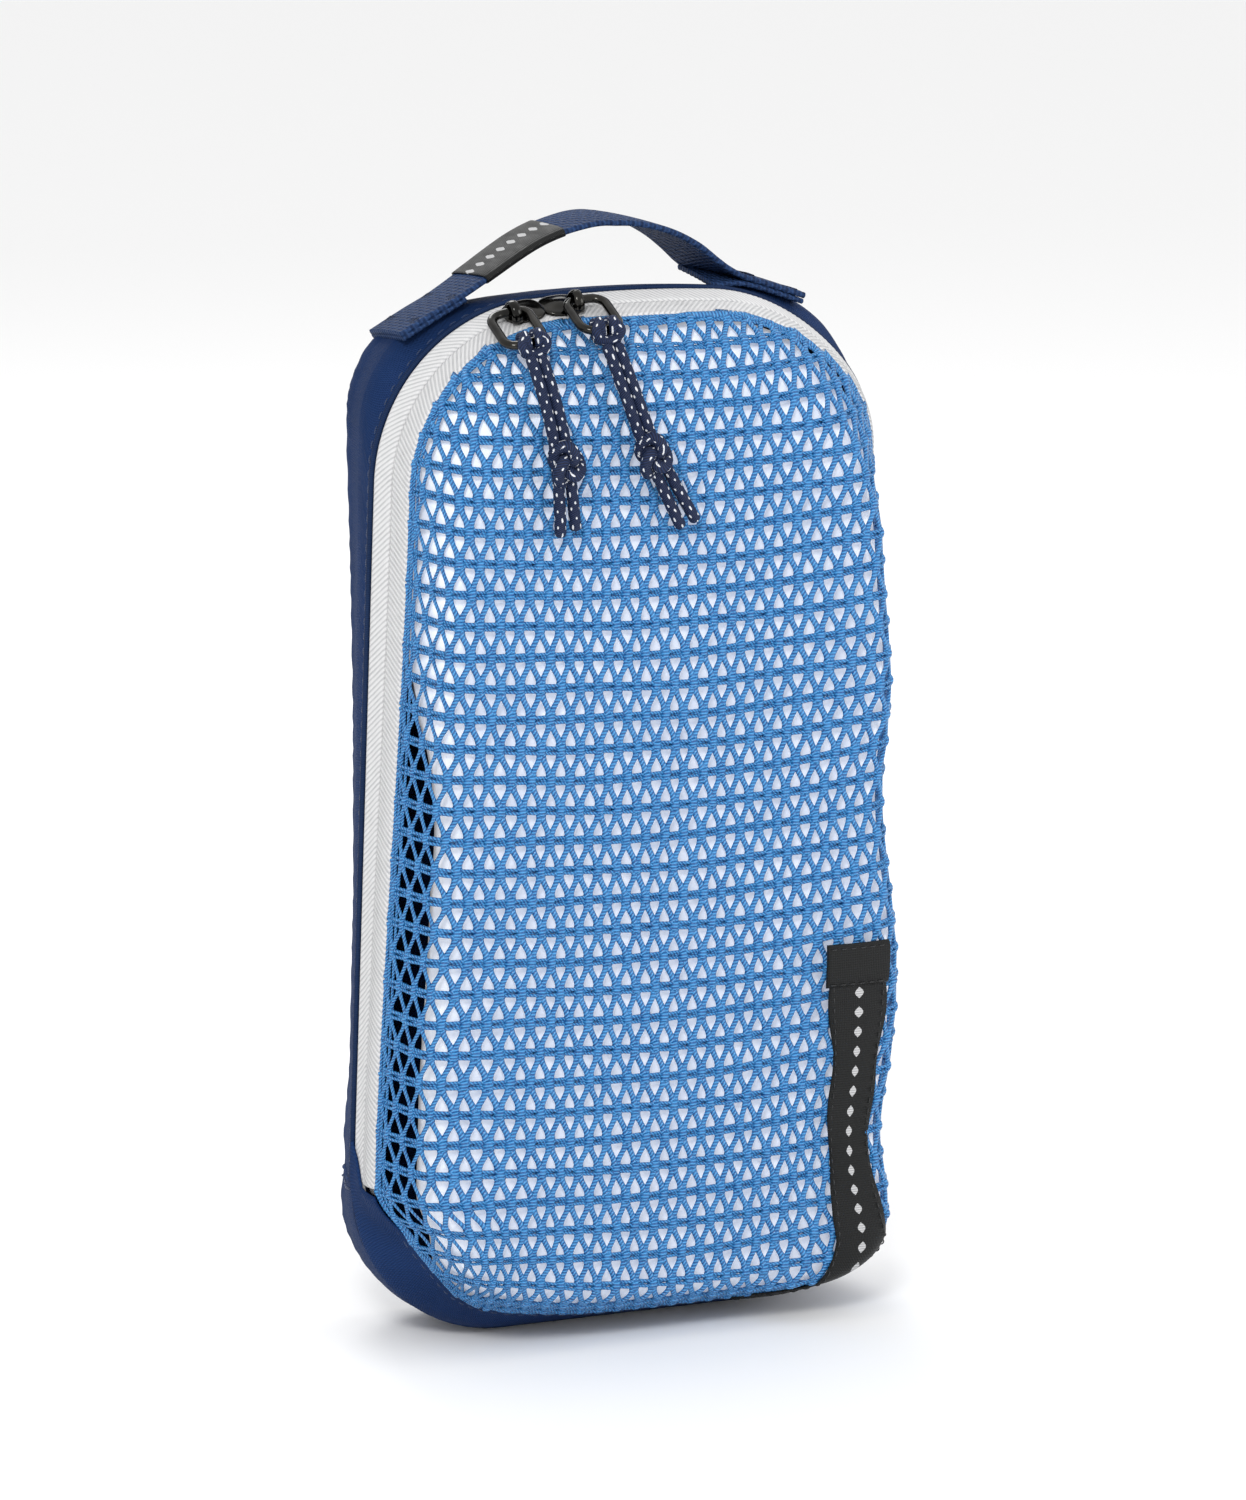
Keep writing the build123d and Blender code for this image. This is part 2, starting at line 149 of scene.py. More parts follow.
class Nodes:
    """A procedural material in the making, with short names for its nodes."""

    def __init__(self, name, colour, roughness, **sockets):
        self.material = plain_material(name, colour, roughness, **sockets)
        self.tree = self.material.node_tree
        self.shader = self.tree.nodes["Principled BSDF"]

    def link(self, value, socket):
        if isinstance(value, bpy.types.NodeSocket):
            self.tree.links.new(value, socket)
        elif value is not None:
            socket.default_value = value

    def coordinates(self, kind="Object"):
        return self.tree.nodes.new("ShaderNodeTexCoord").outputs[kind]

    def math(self, operation, *values):
        node = self.tree.nodes.new("ShaderNodeMath")
        node.operation = operation
        for value, socket in zip(values, node.inputs):
            self.link(value, socket)
        return node.outputs[0]

    def plus(self, a, b):
        return self.math("ADD", a, b)

    def times(self, a, b):
        return self.math("MULTIPLY", a, b)

    def cloth(self):
        """The UV map, and its two coordinates on their own."""
        uv = self.coordinates("UV")
        node = self.tree.nodes.new("ShaderNodeSeparateXYZ")
        self.link(uv, node.inputs[0])
        return uv, node.outputs[0], node.outputs[1]

    def wave(self, value, period):
        """0 to 1, once in each period of value."""
        turned = self.times(value, 2 * math.pi / period)
        return self.math("MULTIPLY_ADD", self.math("SINE", turned), 0.5, 0.5)

    def balance(self, a, b, share):
        """a and b together, with that share of a."""
        return self.plus(self.times(a, share), self.times(b, 1 - share))

    def noise(self, vector, scale, detail=3.0):
        node = self.tree.nodes.new("ShaderNodeTexNoise")
        self.link(vector, node.inputs["Vector"])
        node.inputs["Scale"].default_value = scale
        node.inputs["Detail"].default_value = detail
        return node.outputs["Fac"]

    def shades(self, factor, *stops):
        """A ramp of (position, colour) stops, where one number is a grey."""
        node = self.tree.nodes.new("ShaderNodeValToRGB")
        self.link(factor, node.inputs[0])
        ramp = node.color_ramp
        while len(ramp.elements) < len(stops):
            ramp.elements.new(0.5)
        for element, (position, colour) in zip(ramp.elements, stops):
            rgb = colour if np.ndim(colour) else (colour,) * 3
            element.position, element.color = position, (*rgb, 1.0)
        return node.outputs["Color"]

    def mix(self, factor, a, b, how="MIX"):
        node = self.tree.nodes.new("ShaderNodeMix")
        node.data_type, node.blend_type = "RGBA", how
        self.link(factor, node.inputs["Factor"])
        self.link(a if isinstance(a, bpy.types.NodeSocket) else (*a, 1.0), node.inputs[6])
        self.link(b if isinstance(b, bpy.types.NodeSocket) else (*b, 1.0), node.inputs[7])
        return node.outputs[2]

    def bump(self, height, distance, strength=1.0, under=None):
        node = self.tree.nodes.new("ShaderNodeBump")
        node.inputs["Strength"].default_value = strength
        node.inputs["Distance"].default_value = distance
        self.link(height, node.inputs["Height"])
        self.link(under, node.inputs["Normal"])
        return node.outputs[0]

    def finish(self, colour, roughness=None, normal=None):
        self.link(colour, self.shader.inputs["Base Color"])
        self.link(roughness, self.shader.inputs["Roughness"])
        self.link(normal, self.shader.inputs["Normal"])
        return self.material


def woven_material(name, dark, light, period, lean, rough=(0.55, 0.75), depth=0.0002, **sockets):
    """Cloth woven on the UV map in millimetres. lean slants the weave: 0 for plain cloth, 1 for twill."""
    n = Nodes(name, light, rough[0], **sockets)
    uv, across, along = n.cloth()
    slanted = n.plus(across, n.times(along, lean))
    warp = n.wave(slanted, period)
    weft = n.wave(along, period * 0.82)
    weave = n.times(n.plus(warp, weft), 0.5)
    patchy = n.noise(uv, 0.06, 4.0)
    fuzz = n.noise(uv, 2.2, 2.0)
    shade = n.balance(weave, patchy, 0.55)
    colour = n.shades(shade, (0.15, dark), (0.8, light))
    grey = n.shades(fuzz, (0.3, rough[0]), (0.75, rough[1]))
    fine = n.bump(n.plus(weave, n.times(fuzz, 0.5)), depth)
    return n.finish(colour, grey, n.bump(patchy, 0.0006, 0.35, fine))


def yarn_material(name, dark, light, period, roughness=0.38, depth=0.00012, **sockets):
    """Twisted glossy yarn: fine plies run slantwise round each strand on its UV map."""
    n = Nodes(name, light, roughness, **sockets)
    _, around, along = n.cloth()
    ply = n.wave(n.plus(along, n.times(around, period * 2.0)), period)
    body = n.noise(n.coordinates(), 700.0, 3.0)
    shade = n.balance(ply, body, 0.5)
    rough = n.shades(body, (0.3, roughness * 0.8), (0.7, roughness * 1.35))
    return n.finish(n.shades(shade, (0.2, dark), (0.72, light)), rough, n.bump(ply, depth))


def cord_material():
    """Near-black navy braid with short white flecks staggered round it."""
    n = Nodes("cord_braid", (0.01, 0.02, 0.06), 0.6, Specular_IOR_Level=0.3)
    _, around, along = n.cloth()
    shifted = n.plus(along, n.times(n.noise(n.coordinates(), 420.0, 1.0), 2.2))
    turn, length = n.times(around, 4.0), n.times(shifted, 0.27)
    left = n.wave(n.plus(length, turn), 1.0)
    right = n.wave(n.math("SUBTRACT", length, turn), 1.0)
    uneven = n.times(n.noise(n.coordinates(), 900.0, 2.0), 0.4)
    fleck = n.times(n.plus(n.times(left, right), uneven), 0.93)
    white = n.shades(fleck, (0.9, 0.0), (0.95, 1.0))
    fine = n.wave(n.plus(n.times(along, 2.2), n.times(around, 8.0)), 1.0)
    navy = n.shades(fine, (0.1, (0.004, 0.008, 0.028)), (0.9, (0.014, 0.028, 0.085)))
    colour = n.mix(white, navy, (0.78, 0.8, 0.84))
    return n.finish(colour, n.shades(fine, (0.0, 0.5), (1.0, 0.7)), n.bump(fine, 0.0002))


def metal_material():
    """Dark lacquered zinc with faint casting grain and brighter rubbed patches."""
    n = Nodes("slider_gunmetal", (0.03, 0.03, 0.027), 0.22, Metallic=1.0, Coat_Weight=0.4)
    place = n.coordinates()
    rubbed, grain = n.noise(place, 180.0, 3.0), n.noise(place, 1400.0, 2.0)
    colour = n.shades(rubbed, (0.35, (0.007, 0.0068, 0.006)), (0.75, (0.03, 0.028, 0.024)))
    rough = n.shades(rubbed, (0.3, 0.12), (0.75, 0.3))
    return n.finish(colour, rough, n.bump(grain, 0.00003, 0.6))


def tape_material():
    """Off-white zipper tape: woven ridges slant one way on each half and meet as chevrons."""
    n = Nodes("zipper_tape", (0.7, 0.69, 0.66), 0.7)
    uv, across, along = n.cloth()
    front_half = n.math("GREATER_THAN", across, ZIP_CENTRE)
    way = n.math("MULTIPLY_ADD", front_half, 2.0 * RIDGE_SLANT, -RIDGE_SLANT)
    slanted = n.math("MULTIPLY_ADD", along, 1 / RIDGE_STEP, n.times(across, way))
    ridge, yarns = n.wave(slanted, 1.0), n.wave(across, 0.42)
    patchy = n.noise(uv, 0.3, 4.0)
    shade = n.balance(ridge, patchy, 0.6)
    colour = n.shades(shade, (0.12, (0.43, 0.434, 0.445)), (0.62, (0.67, 0.67, 0.675)))
    rough = n.shades(patchy, (0.3, 0.6), (0.7, 0.8))
    return n.finish(colour, rough, n.bump(yarns, 0.00008, 0.7, n.bump(ridge, 0.0002, 0.65)))


def label_material():
    """Black satin-woven tape with fine crosswise ribs and a row of small pale lozenges."""
    n = Nodes("label_black", (0.02, 0.02, 0.021), 0.6, Specular_IOR_Level=0.22)
    uv, across, along = n.cloth()
    rib, thread = n.wave(along, 0.55), n.wave(across, 0.4)
    weave = n.times(n.plus(rib, thread), 0.5)
    patchy = n.noise(uv, 0.25, 3.0)
    shade = n.balance(weave, patchy, 0.5)
    black = n.shades(shade, (0.2, (0.002, 0.0022, 0.0025)), (0.85, (0.012, 0.013, 0.013)))
    edge = n.math("MULTIPLY_ADD", n.wave(along, 4.6), 1.55, -0.6)
    lozenge = n.math("LESS_THAN", n.math("ABSOLUTE", across), edge)
    marks = n.times(lozenge, n.math("MULTIPLY_ADD", rib, 0.35, 0.5))
    colour = n.mix(marks, black, (0.66, 0.66, 0.67))
    rough = n.shades(patchy, (0.3, 0.42), (0.75, 0.62))
    return n.finish(colour, rough, n.bump(weave, 0.00012))


def filler_material(name, painted_glow, shade):
    """White soft wadding with a faint fibre. Its emission is painted light that brightens the sheet where the
    mesh shades it, and a lower shade gives a darker copy: painted shade.
    """
    pale = (0.93, 0.95, 1.0, 1.0)
    n = Nodes(name, (0.86, 0.87, 0.9), 0.85, Emission_Strength=painted_glow, Emission_Color=pale)
    place = n.coordinates()
    clumps, fibre = n.noise(place, 60.0, 4.0), n.noise(place, 900.0, 3.0)
    low, high = (0.81, 0.85, 0.905), (0.94, 0.955, 0.985)
    colour = n.shades(clumps, (0.3, [shade * c for c in low]), (0.65, [shade * c for c in high]))
    return n.finish(colour, None, n.bump(fibre, 0.0002, 0.6, n.bump(clumps, 0.0015, 0.5)))


def make_materials():
    """Every material, by the slot that it fills or by its own name where it shares a slot."""
    navy_dark, navy_light = (0.004, 0.016, 0.06), (0.013, 0.04, 0.135)
    web_dark, web_light = (0.003, 0.01, 0.038), (0.024, 0.06, 0.165)
    bind_dark, bind_light = (0.004, 0.011, 0.036), (0.013, 0.03, 0.085)
    matte, sheen = {"Specular_IOR_Level": 0.08}, {"Specular_IOR_Level": 0.15}
    return {
        "navy_fabric": woven_material("navy_twill", navy_dark, navy_light, 0.62, 1.0, (0.6, 0.8), **matte),
        "navy_webbing": woven_material("navy_webbing", web_dark, web_light, 1.3, 0.5, depth=0.0005, **sheen),
        "navy_binding": woven_material("navy_binding", bind_dark, bind_light, 0.5, 0.0, **matte),
        "navy_thread": yarn_material("navy_thread", (0.006, 0.016, 0.055), (0.03, 0.06, 0.15), 0.5),
        "zipper_white": tape_material(),
        "zipper_coil": yarn_material("zipper_coil", (0.6, 0.59, 0.56), (0.85, 0.84, 0.8), 1.2, 0.3),
        # painted shade, in part: the mesh yarn's dark tone is deepened, and the ramp lays it where the plies
        # dip; the rest is random tone
        "mesh_blue": yarn_material("mesh_yarn", (0.003, 0.062, 0.24), (0.062, 0.3, 0.64), 0.8, 0.24, 0.00022),
        # painted light: the white sheet's front glows a little, to brighten it where the mesh shades it
        "filler_white": filler_material("filler_front_painted_glow", 0.28, 1.0),
        # painted shade: a darker copy of the sheet's material, without glow, for its faces that look
        # backwards
        "filler_back_painted_shade": filler_material("filler_back_painted_shade", 0.0, 0.72),
        "label_black": label_material(),
        "black_thread": yarn_material("black_thread", (0.004, 0.004, 0.005), (0.03, 0.03, 0.032), 0.5),
        "slider_metal": metal_material(),
        "cord_navy": cord_material(),
    }


# ---------------------------------------------------------------- mesh building


def grid_faces(rows, columns, wrap=False):
    """Quads over a grid of points, closed across its columns where it wraps."""
    i = np.arange(rows - 1)[:, None]
    j = np.arange(columns if wrap else columns - 1)[None, :]
    near, far, beside = i * columns, (i + 1) * columns, (j + 1) % columns
    return np.stack([near + j, far + j, far + beside, near + beside], -1).reshape(-1, 4)


# how the soft cube has settled: height, spread and reach of each bulge in its right side. The values are
# rounded from a fit to the photo's outline.
RIGHT_BULGES = ((11, 14, 5.2), (42, 16, -3.4), (84, 18, 1.7), (124, 18, -3.1), (141, 31, 3.0), (208, 17, 2.7))
LEFT_LEAN, LEFT_TUCK = 3.5, 4.6  # the front left edge leans out above the wrap and is drawn in at the wrap
SAME_PLACE = 1e-6  # metres: corners nearer than this are one corner
RIGID_SLOTS = ("slider_metal", "cord_navy", "navy_webbing")


def smooth_step(x, low, high):
    """0 below low, 1 above high, and a smooth rise between."""
    f = np.clip((x - low) / (high - low), 0, 1)
    return f * f * (3 - 2 * f)


def bell(x, middle, spread):
    """1 at the middle, fading to nothing either side."""
    return np.exp(-(((x - middle) / spread) ** 2))


def settled(points):
    """The soft cube's own lean and bulges, the same for every cloth piece so that they stay together."""
    x, y, z = points.T
    right = sum(reach * bell(z, height, spread) for height, spread, reach in RIGHT_BULGES)
    right = right * smooth_step(x, 24.0, 58.0) * (1 - 0.65 * smooth_step(y, -4.0, 20.0))
    lean = LEFT_LEAN * smooth_step(z, 27.0, 39.0) * (1 - smooth_step(z, 33.0, 196.0))
    tuck = LEFT_TUCK * bell(z, 17.0, 13.0) * smooth_step(z, 0.0, 8.0)
    left = (lean - tuck) * smooth_step(-x, 30.0, 56.0) * smooth_step(-y, 0.0, 10.0)
    lift = 2.6 * bell(x, -38.0, 16.0) * (1 - smooth_step(z, 8.0, 30.0)) * smooth_step(-y, 3.0, 10.5)
    return np.stack([x + right - left, y, z + lift], -1)


def new_piece(name, part, slot, look=None, tidy=True):
    """One smooth-shaded mesh object from a part: its points in millimetres, its faces and its UVs."""
    points, faces, uv = part
    mesh = bpy.data.meshes.new(name)
    points = np.asarray(points, float).reshape(-1, 3)
    if slot not in RIGID_SLOTS:
        points = settled(points)
    mesh.vertices.add(len(points))
    mesh.vertices.foreach_set("co", (points * MM).astype(np.float32).ravel())
    mesh.loops.add(faces.size)
    mesh.loops.foreach_set("vertex_index", faces.astype(np.int32).ravel())
    mesh.polygons.add(len(faces))
    mesh.polygons.foreach_set("loop_start", np.arange(0, faces.size, 4, dtype=np.int32))
    mesh.update(calc_edges=True)
    layer = mesh.uv_layers.new(name="UVMap")
    layer.data.foreach_set("uv", np.asarray(uv, np.float32).reshape(-1, 2)[faces.ravel()].ravel())
    mesh.validate()
    work = bmesh.new()
    work.from_mesh(mesh)
    bmesh.ops.remove_doubles(work, verts=work.verts, dist=SAME_PLACE)
    if tidy:
        bmesh.ops.recalc_face_normals(work, faces=work.faces)
    work.to_mesh(mesh)
    work.free()
    mesh.polygons.foreach_set("use_smooth", np.ones(len(mesh.polygons), bool))
    mesh.materials.append(MATERIALS[look or slot])
    piece = bpy.data.objects.new(name, mesh)
    bpy.context.scene.collection.objects.link(piece)
    return piece


def add_piece(name, part, slot, body, *nodes, look=None, tidy=True):
    """Makes a piece that stands for some CAD nodes, attached to one body or, for the fold, with its placing
    baked in.
    """
    piece = new_piece(name, part, slot, look, tidy)
    if nodes:
        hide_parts(*nodes)
    if body == "fold":
        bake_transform(piece)
    else:
        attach(piece, body)
    return piece


def distances(lines):
    """Distance travelled to each point of a line, or of each of several lines."""
    steps = np.linalg.norm(np.diff(lines, axis=-2), axis=-1)
    return np.concatenate([np.zeros_like(steps[..., :1]), np.cumsum(steps, axis=-1)], axis=-1)


def unit(v):
    """Vectors brought to length one."""
    return v / np.maximum(np.linalg.norm(v, axis=-1, keepdims=True), 1e-9)


def end_caps(count, steps, sides):
    """Faces that close both ends of each tube."""
    k = np.arange(1, sides - 1, 2)
    cap = np.stack([0 * k, k, k + 1, k + 2], -1)
    first = np.arange(count)[:, None, None] * steps * (sides + 1)
    last = first + (steps - 1) * (sides + 1)
    return np.concatenate([(cap + first).reshape(-1, 4), (cap[:, ::-1] + last).reshape(-1, 4)])


def tubes(paths, radius, sides, facing=(0.0, -1.0, 0.0), flat=1.0):
    """Points, faces and UVs of tubes round many paths of equal steps: paths is (count, steps, 3).
    radius may be one number or one for each step or point; flat squashes the tube towards facing."""
    paths = np.asarray(paths, float)
    if paths.ndim == 2:
        paths = paths[None]
    count, steps, _ = paths.shape
    forward = unit(np.gradient(paths, axis=1))
    closed = np.allclose(paths[:, 0], paths[:, -1])
    if closed:
        forward[:, [0, -1]] = unit(forward[:, :1] + forward[:, -1:])
    facing = np.broadcast_to(np.asarray(facing, float), paths.shape)
    aside = unit(np.cross(forward, facing))
    up = np.cross(aside, forward)
    angle = np.linspace(0, 2 * np.pi, sides + 1)
    size = np.broadcast_to(np.asarray(radius, float), paths.shape[:2])[..., None, None]
    ring = aside[:, :, None] * np.cos(angle)[:, None] + up[:, :, None] * np.sin(angle)[:, None] * flat
    points = paths[:, :, None] + ring * size
    one = grid_faces(steps, sides + 1)
    faces = (one[None] + (np.arange(count) * steps * (sides + 1))[:, None, None]).reshape(-1, 4)
    if not closed:
        faces = np.concatenate([faces, end_caps(count, steps, sides)])
    travel = distances(paths)
    around = np.broadcast_to(angle / (2 * np.pi), points.shape[:3])
    uv = np.stack([around, np.broadcast_to(travel[..., None], around.shape)], -1)
    return points.reshape(-1, 3), faces, uv.reshape(-1, 2)


def joined(*parts):
    """Several parts as one."""
    starts = np.cumsum([0] + [len(part[0]) for part in parts[:-1]])
    points, faces, uvs = zip(*parts)
    faces = [face + start for face, start in zip(faces, starts)]
    return np.concatenate(points), np.concatenate(faces), np.concatenate(uvs)


def rounded_ends(steps, radius, share=0.12):
    """Radii along a tube that close both of its ends."""
    f = np.linspace(0, 1, steps)
    edge = np.clip(np.minimum(f, 1 - f) / share, 0, 1)
    return radius * np.maximum(np.sqrt(1 - (1 - edge) ** 2), 0.02)


def curve_through(points, count):
    """Catmull-Rom curve through a few given points, evenly spaced."""
    p = np.asarray(points, float)
    p = np.vstack([2 * p[0] - p[1], p, 2 * p[-1] - p[-2]])
    fine = []
    for k in range(1, len(p) - 2):
        f = np.linspace(0, 1, 24, endpoint=False)[:, None]
        a, b, c, d = p[k - 1 : k + 3]
        fine.append(
            0.5 * (2 * b + (c - a) * f + (2 * a - 5 * b + 4 * c - d) * f**2 + (3 * b - a - 3 * c + d) * f**3)
        )
    return evenly(np.vstack([*fine, p[-2][None]]), count)


def sampled(at, travel, values):
    """Values along a line, read off at some distances."""
    return np.stack([np.interp(at, travel, values[:, k]) for k in range(values.shape[1])], -1)


def evenly(line, count):
    """The line again with its points evenly spaced."""
    travel = distances(line)
    return sampled(np.linspace(0, travel[-1], count), travel, line)


def line_length(line):
    """Length of a line from end to end."""
    return float(distances(line)[-1])


def sheet(outer, inner, uv):
    """A sheet of cloth with thickness, from two grids of points: (steps, across, 3)."""
    steps, across = outer.shape[:2]
    loop = np.concatenate([outer, inner[:, ::-1]], axis=1)
    j = np.arange(across - 1)
    end = np.stack([j, j + 1, 2 * across - 2 - j, 2 * across - 1 - j], -1)
    faces = [grid_faces(steps, 2 * across, wrap=True), end, end + (steps - 1) * 2 * across]
    return loop, np.concatenate(faces), np.concatenate([uv, uv[:, ::-1]], axis=1)


def stitch_row(line, facing, length=2.4, gap=0.9, radius=0.26):
    """Separate sewn stitches along a line, each a short rounded thread that dips at both ends."""
    line, facing = np.asarray(line, float), np.asarray(facing, float)
    travel = distances(line)
    starts = np.arange(0, travel[-1] - length, length + gap)
    at = starts[:, None] + np.linspace(0, length, 5)[None]
    paths = sampled(at, travel, line)
    if facing.ndim == 2:
        face = unit(sampled(at, travel, facing))
    else:
        face = np.broadcast_to(facing, paths.shape)
    paths = paths + face * np.array([-0.12, 0.08, 0.14, 0.08, -0.12])[:, None]
    return tubes(paths, np.array([0.4, 0.95, 1.0, 0.95, 0.4]) * radius, 6, face)


# ---------------------------------------------------------------- the outline and its surfaces


def outline_numbers(shape):
    """Centres of an outline's shoulder and corner, the angles where its runs meet, and its runs' lengths."""
    half_top, half_base, top, base, r_top, r_base = shape
    crown_z = top - CROWN_RADIUS
    sx = half_top - r_top
    sz = crown_z + math.sqrt((CROWN_RADIUS - r_top) ** 2 - sx**2)
    cx, cz = half_base - r_base, base + r_base
    span = math.hypot(sx - cx, sz - cz)
    side = math.atan2(sz - cz, sx - cx) - math.acos((r_base - r_top) / span)
    join = math.atan2(sz - crown_z, sx)
    lengths = (
        CROWN_RADIUS * (math.pi / 2 - join),
        r_top * (join - side),
        math.sqrt(span**2 - (r_base - r_top) ** 2),
        r_base * (side + math.pi / 2),
        cx,
    )
    return crown_z, sx, sz, cx, cz, side, join, lengths


def outline(shape, t):
    """Points and outward normals (x, z) where t counts the outline's five runs from the top centre:
    crown, shoulder, side, base corner, base. Negative t is the left half."""
    crown_z, sx, sz, cx, cz, side, join, _ = outline_numbers(shape)
    r_top, r_base = shape[4], shape[5]
    t = np.asarray(t, float)
    run = np.clip(np.abs(t).astype(int), 0, 4)
    f = np.abs(t) - run
    quarter = math.pi / 2
    cases = [run == k for k in range(4)]
    zero = 0 * f
    turns = [quarter - f * (quarter - join), join - f * (join - side)]
    turns += [side + zero, side - f * (side + quarter)]
    angle = np.select(cases, turns, -quarter)
    x0 = np.select(cases, [zero, sx + zero, sx + f * (cx - sx), cx + zero], cx * (1 - f))
    z0 = np.select(cases, [crown_z + zero, sz + zero, sz + f * (cz - sz), cz + zero], cz)
    radii = [CROWN_RADIUS + zero, r_top + zero, r_top + f * (r_base - r_top), r_base + zero]
    r = np.select(cases, radii, r_base)
    sign = np.where(t < 0, -1.0, 1.0)
    normal = np.stack([np.cos(angle) * sign, np.sin(angle)], -1)
    return np.stack([x0 * sign, z0], -1) + normal * r[..., None], normal


RUN_ENDS = np.concatenate([[0], np.cumsum(outline_numbers(FRONT)[-1])])
HALF_LENGTH = RUN_ENDS[-1]


def at_length(s):
    """t for a distance in millimetres along the front outline from the top centre."""
    return np.sign(s) * np.interp(np.abs(s), RUN_ENDS, np.arange(6))


WALK = np.linspace(0, HALF_LENGTH, 2600)
WALK_Z = outline(FRONT, at_length(WALK))[0][:, 1]


def length_at_height(z):
    """Distance down the front outline to a height."""
    return float(np.interp(-z, -WALK_Z, WALK))


def upper_run(z_end, step):
    """Distances along the outline from the left end, over the crown, to the right end at a height."""
    end = length_at_height(z_end)
    return np.linspace(-end, end, int(2 * end / step))


def lower_run(z_start, step):
    """The rest of the outline: down the right side, along the base and up the left side."""
    start = length_at_height(z_start)
    right = np.linspace(start, HALF_LENGTH, int((HALF_LENGTH - start) / step))
    return np.concatenate([right, -right[::-1][1:]])


def whole_run(step):
    """Distances all the way round the outline, ending where they start."""
    whole = np.concatenate([upper_run(FOLD_Z, step), lower_run(FOLD_Z, step)[1:-1]])
    return np.append(whole, whole[0])


def waves(count, first, second):
    """Some gentle waves over two coordinates: the two rates and the start of each."""
    ranges = (first, second, (0, 6.28))
    return [tuple(random.uniform(*limits) for limits in ranges) for _ in range(count)]


# how far the side of the shell sinks in (or puffs out) towards the back, by height
SINK_HEIGHTS = (0, 12, 22, 33, 37, 44, 60, 100, 140, 175, 200, 215, 240)
SINK_DEPTHS = (0.0, 1.6, 2.8, 4.9, 5.8, 5.2, 6.6, 6.8, 5.6, 4.2, 3.0, 2.8, 2.4)
WAVES = waves(9, (0.018, 0.06), (0.05, 0.22))


def standing(flat, y):
    """Outline points (x, z) at depths y, as points (x, y, z)."""
    return np.stack([flat[..., 0], y + 0 * flat[..., 0], flat[..., 1]], -1)


def side_sink(point, normal):
    """How far the shell has sunk in at points of an outline: on its sides and shoulders only."""
    on_side = smooth_step(np.abs(normal[..., 0]), 0.35, 0.9)
    on_side = np.maximum(on_side, smooth_step(point[..., 1], 200.0, 232.0))
    return np.interp(point[..., 1], SINK_HEIGHTS, SINK_DEPTHS) * on_side


BACK_ROUNDING = 4.5  # how far the back edge turns in
WRAP_SLOPE = 0.385  # how far the wrap leans in for each millimetre forwards of the seam


def shell_points(s, y, inwards=0.0):
    """The fabric shell at distances s round the outline and depths y, both arrays of one shape."""
    t = at_length(s)
    to_side = smooth_step(y, 0.8, 10.0)[..., None]
    to_back = np.clip((y - 17) / 7, 0, 1)[..., None]
    mixed = [
        (1 - to_side) * f + to_side * ((1 - to_back) * m + to_back * b)
        for f, m, b in zip(outline(FRONT, t), outline(SIDE, t), outline(BACK, t))
    ]
    point, normal = mixed[0], unit(mixed[1])
    round_back = BACK_ROUNDING * (1 - np.sqrt(np.clip(1 - to_back[..., 0] ** 2, 0, 1)))
    front_slope = np.maximum(-y, 0) * WRAP_SLOPE
    sink = side_sink(point, normal) * smooth_step(y, 0.8, 25.0) ** 0.8
    ripple = sum(0.12 * np.sin(a * s + b * y + c) for a, b, c in WAVES)
    ripple = ripple * smooth_step(y, 1.5, 8.0) * (1 - smooth_step(y, 19.0, 24.0))
    ripple = ripple * smooth_step(point[..., 1], 0.5, 9.0)
    pucker = 0.1 * np.sin(1.9 * s + 1.3 * np.sin(0.31 * s)) * bell(y, 4.0, 1.8)
    pucker = pucker + 0.13 * np.sin(1.1 * s + 2.0 * np.sin(0.17 * s)) * bell(y, 20.0, 2.2)
    pucker = pucker * smooth_step(point[..., 1], 3.0, 12.0)
    move = -(round_back + front_slope + sink + inwards) + ripple + pucker
    flat = point + normal * move[..., None]
    return standing(flat, y)


def zip_points(s, along, out):
    """Points on the sloping zipper: along runs from the shell's seam to the mesh, out stands proud."""
    point, normal = outline(FRONT, at_length(s))
    y = -(ZIP_SLOPE[0] * along + ZIP_SLOPE[1] * out)
    inset = ZIP_SLOPE[1] * along - ZIP_SLOPE[0] * out
    return standing(point - normal * np.asarray(inset)[..., None], y)


def half_width(edge, z):
    """Half width at some heights of an edge that runs from the top down."""
    return np.interp(-z, -edge[:, 1], edge[:, 0])


def inset_at(x, z):
    """Distance inwards from the front outline."""
    crown_z, sx, sz, cx, cz, side, join, _ = outline_numbers(FRONT)
    r_top, r_base = FRONT[4], FRONT[5]
    x = np.abs(x)
    d = np.minimum(CROWN_RADIUS - np.hypot(x, z - crown_z), z)
    d = np.minimum(d, r_base - ((x - cx) * math.cos(side) + (z - cz) * math.sin(side)))
    around = np.arctan2(z - sz, x - sx)
    shoulder = (around > side) & (around < join)
    d = np.where(shoulder, np.minimum(d, r_top - np.hypot(x - sx, z - sz)), d)
    around = np.arctan2(z - cz, x - cx)
    corner = (around > -math.pi / 2) & (around < side)
    return np.where(corner, np.minimum(d, r_base - np.hypot(x - cx, z - cz)), d)


MESH_SEAM_INSET, MESH_SEAM_Y = 4.7, -11.0  # where the mesh is sewn to the front's edge
FACE_DEPTH = 12.8  # how far the face stands out in front of that seam
FACE_WAVES = waves(7, (-0.09, 0.09), (0.03, 0.12))


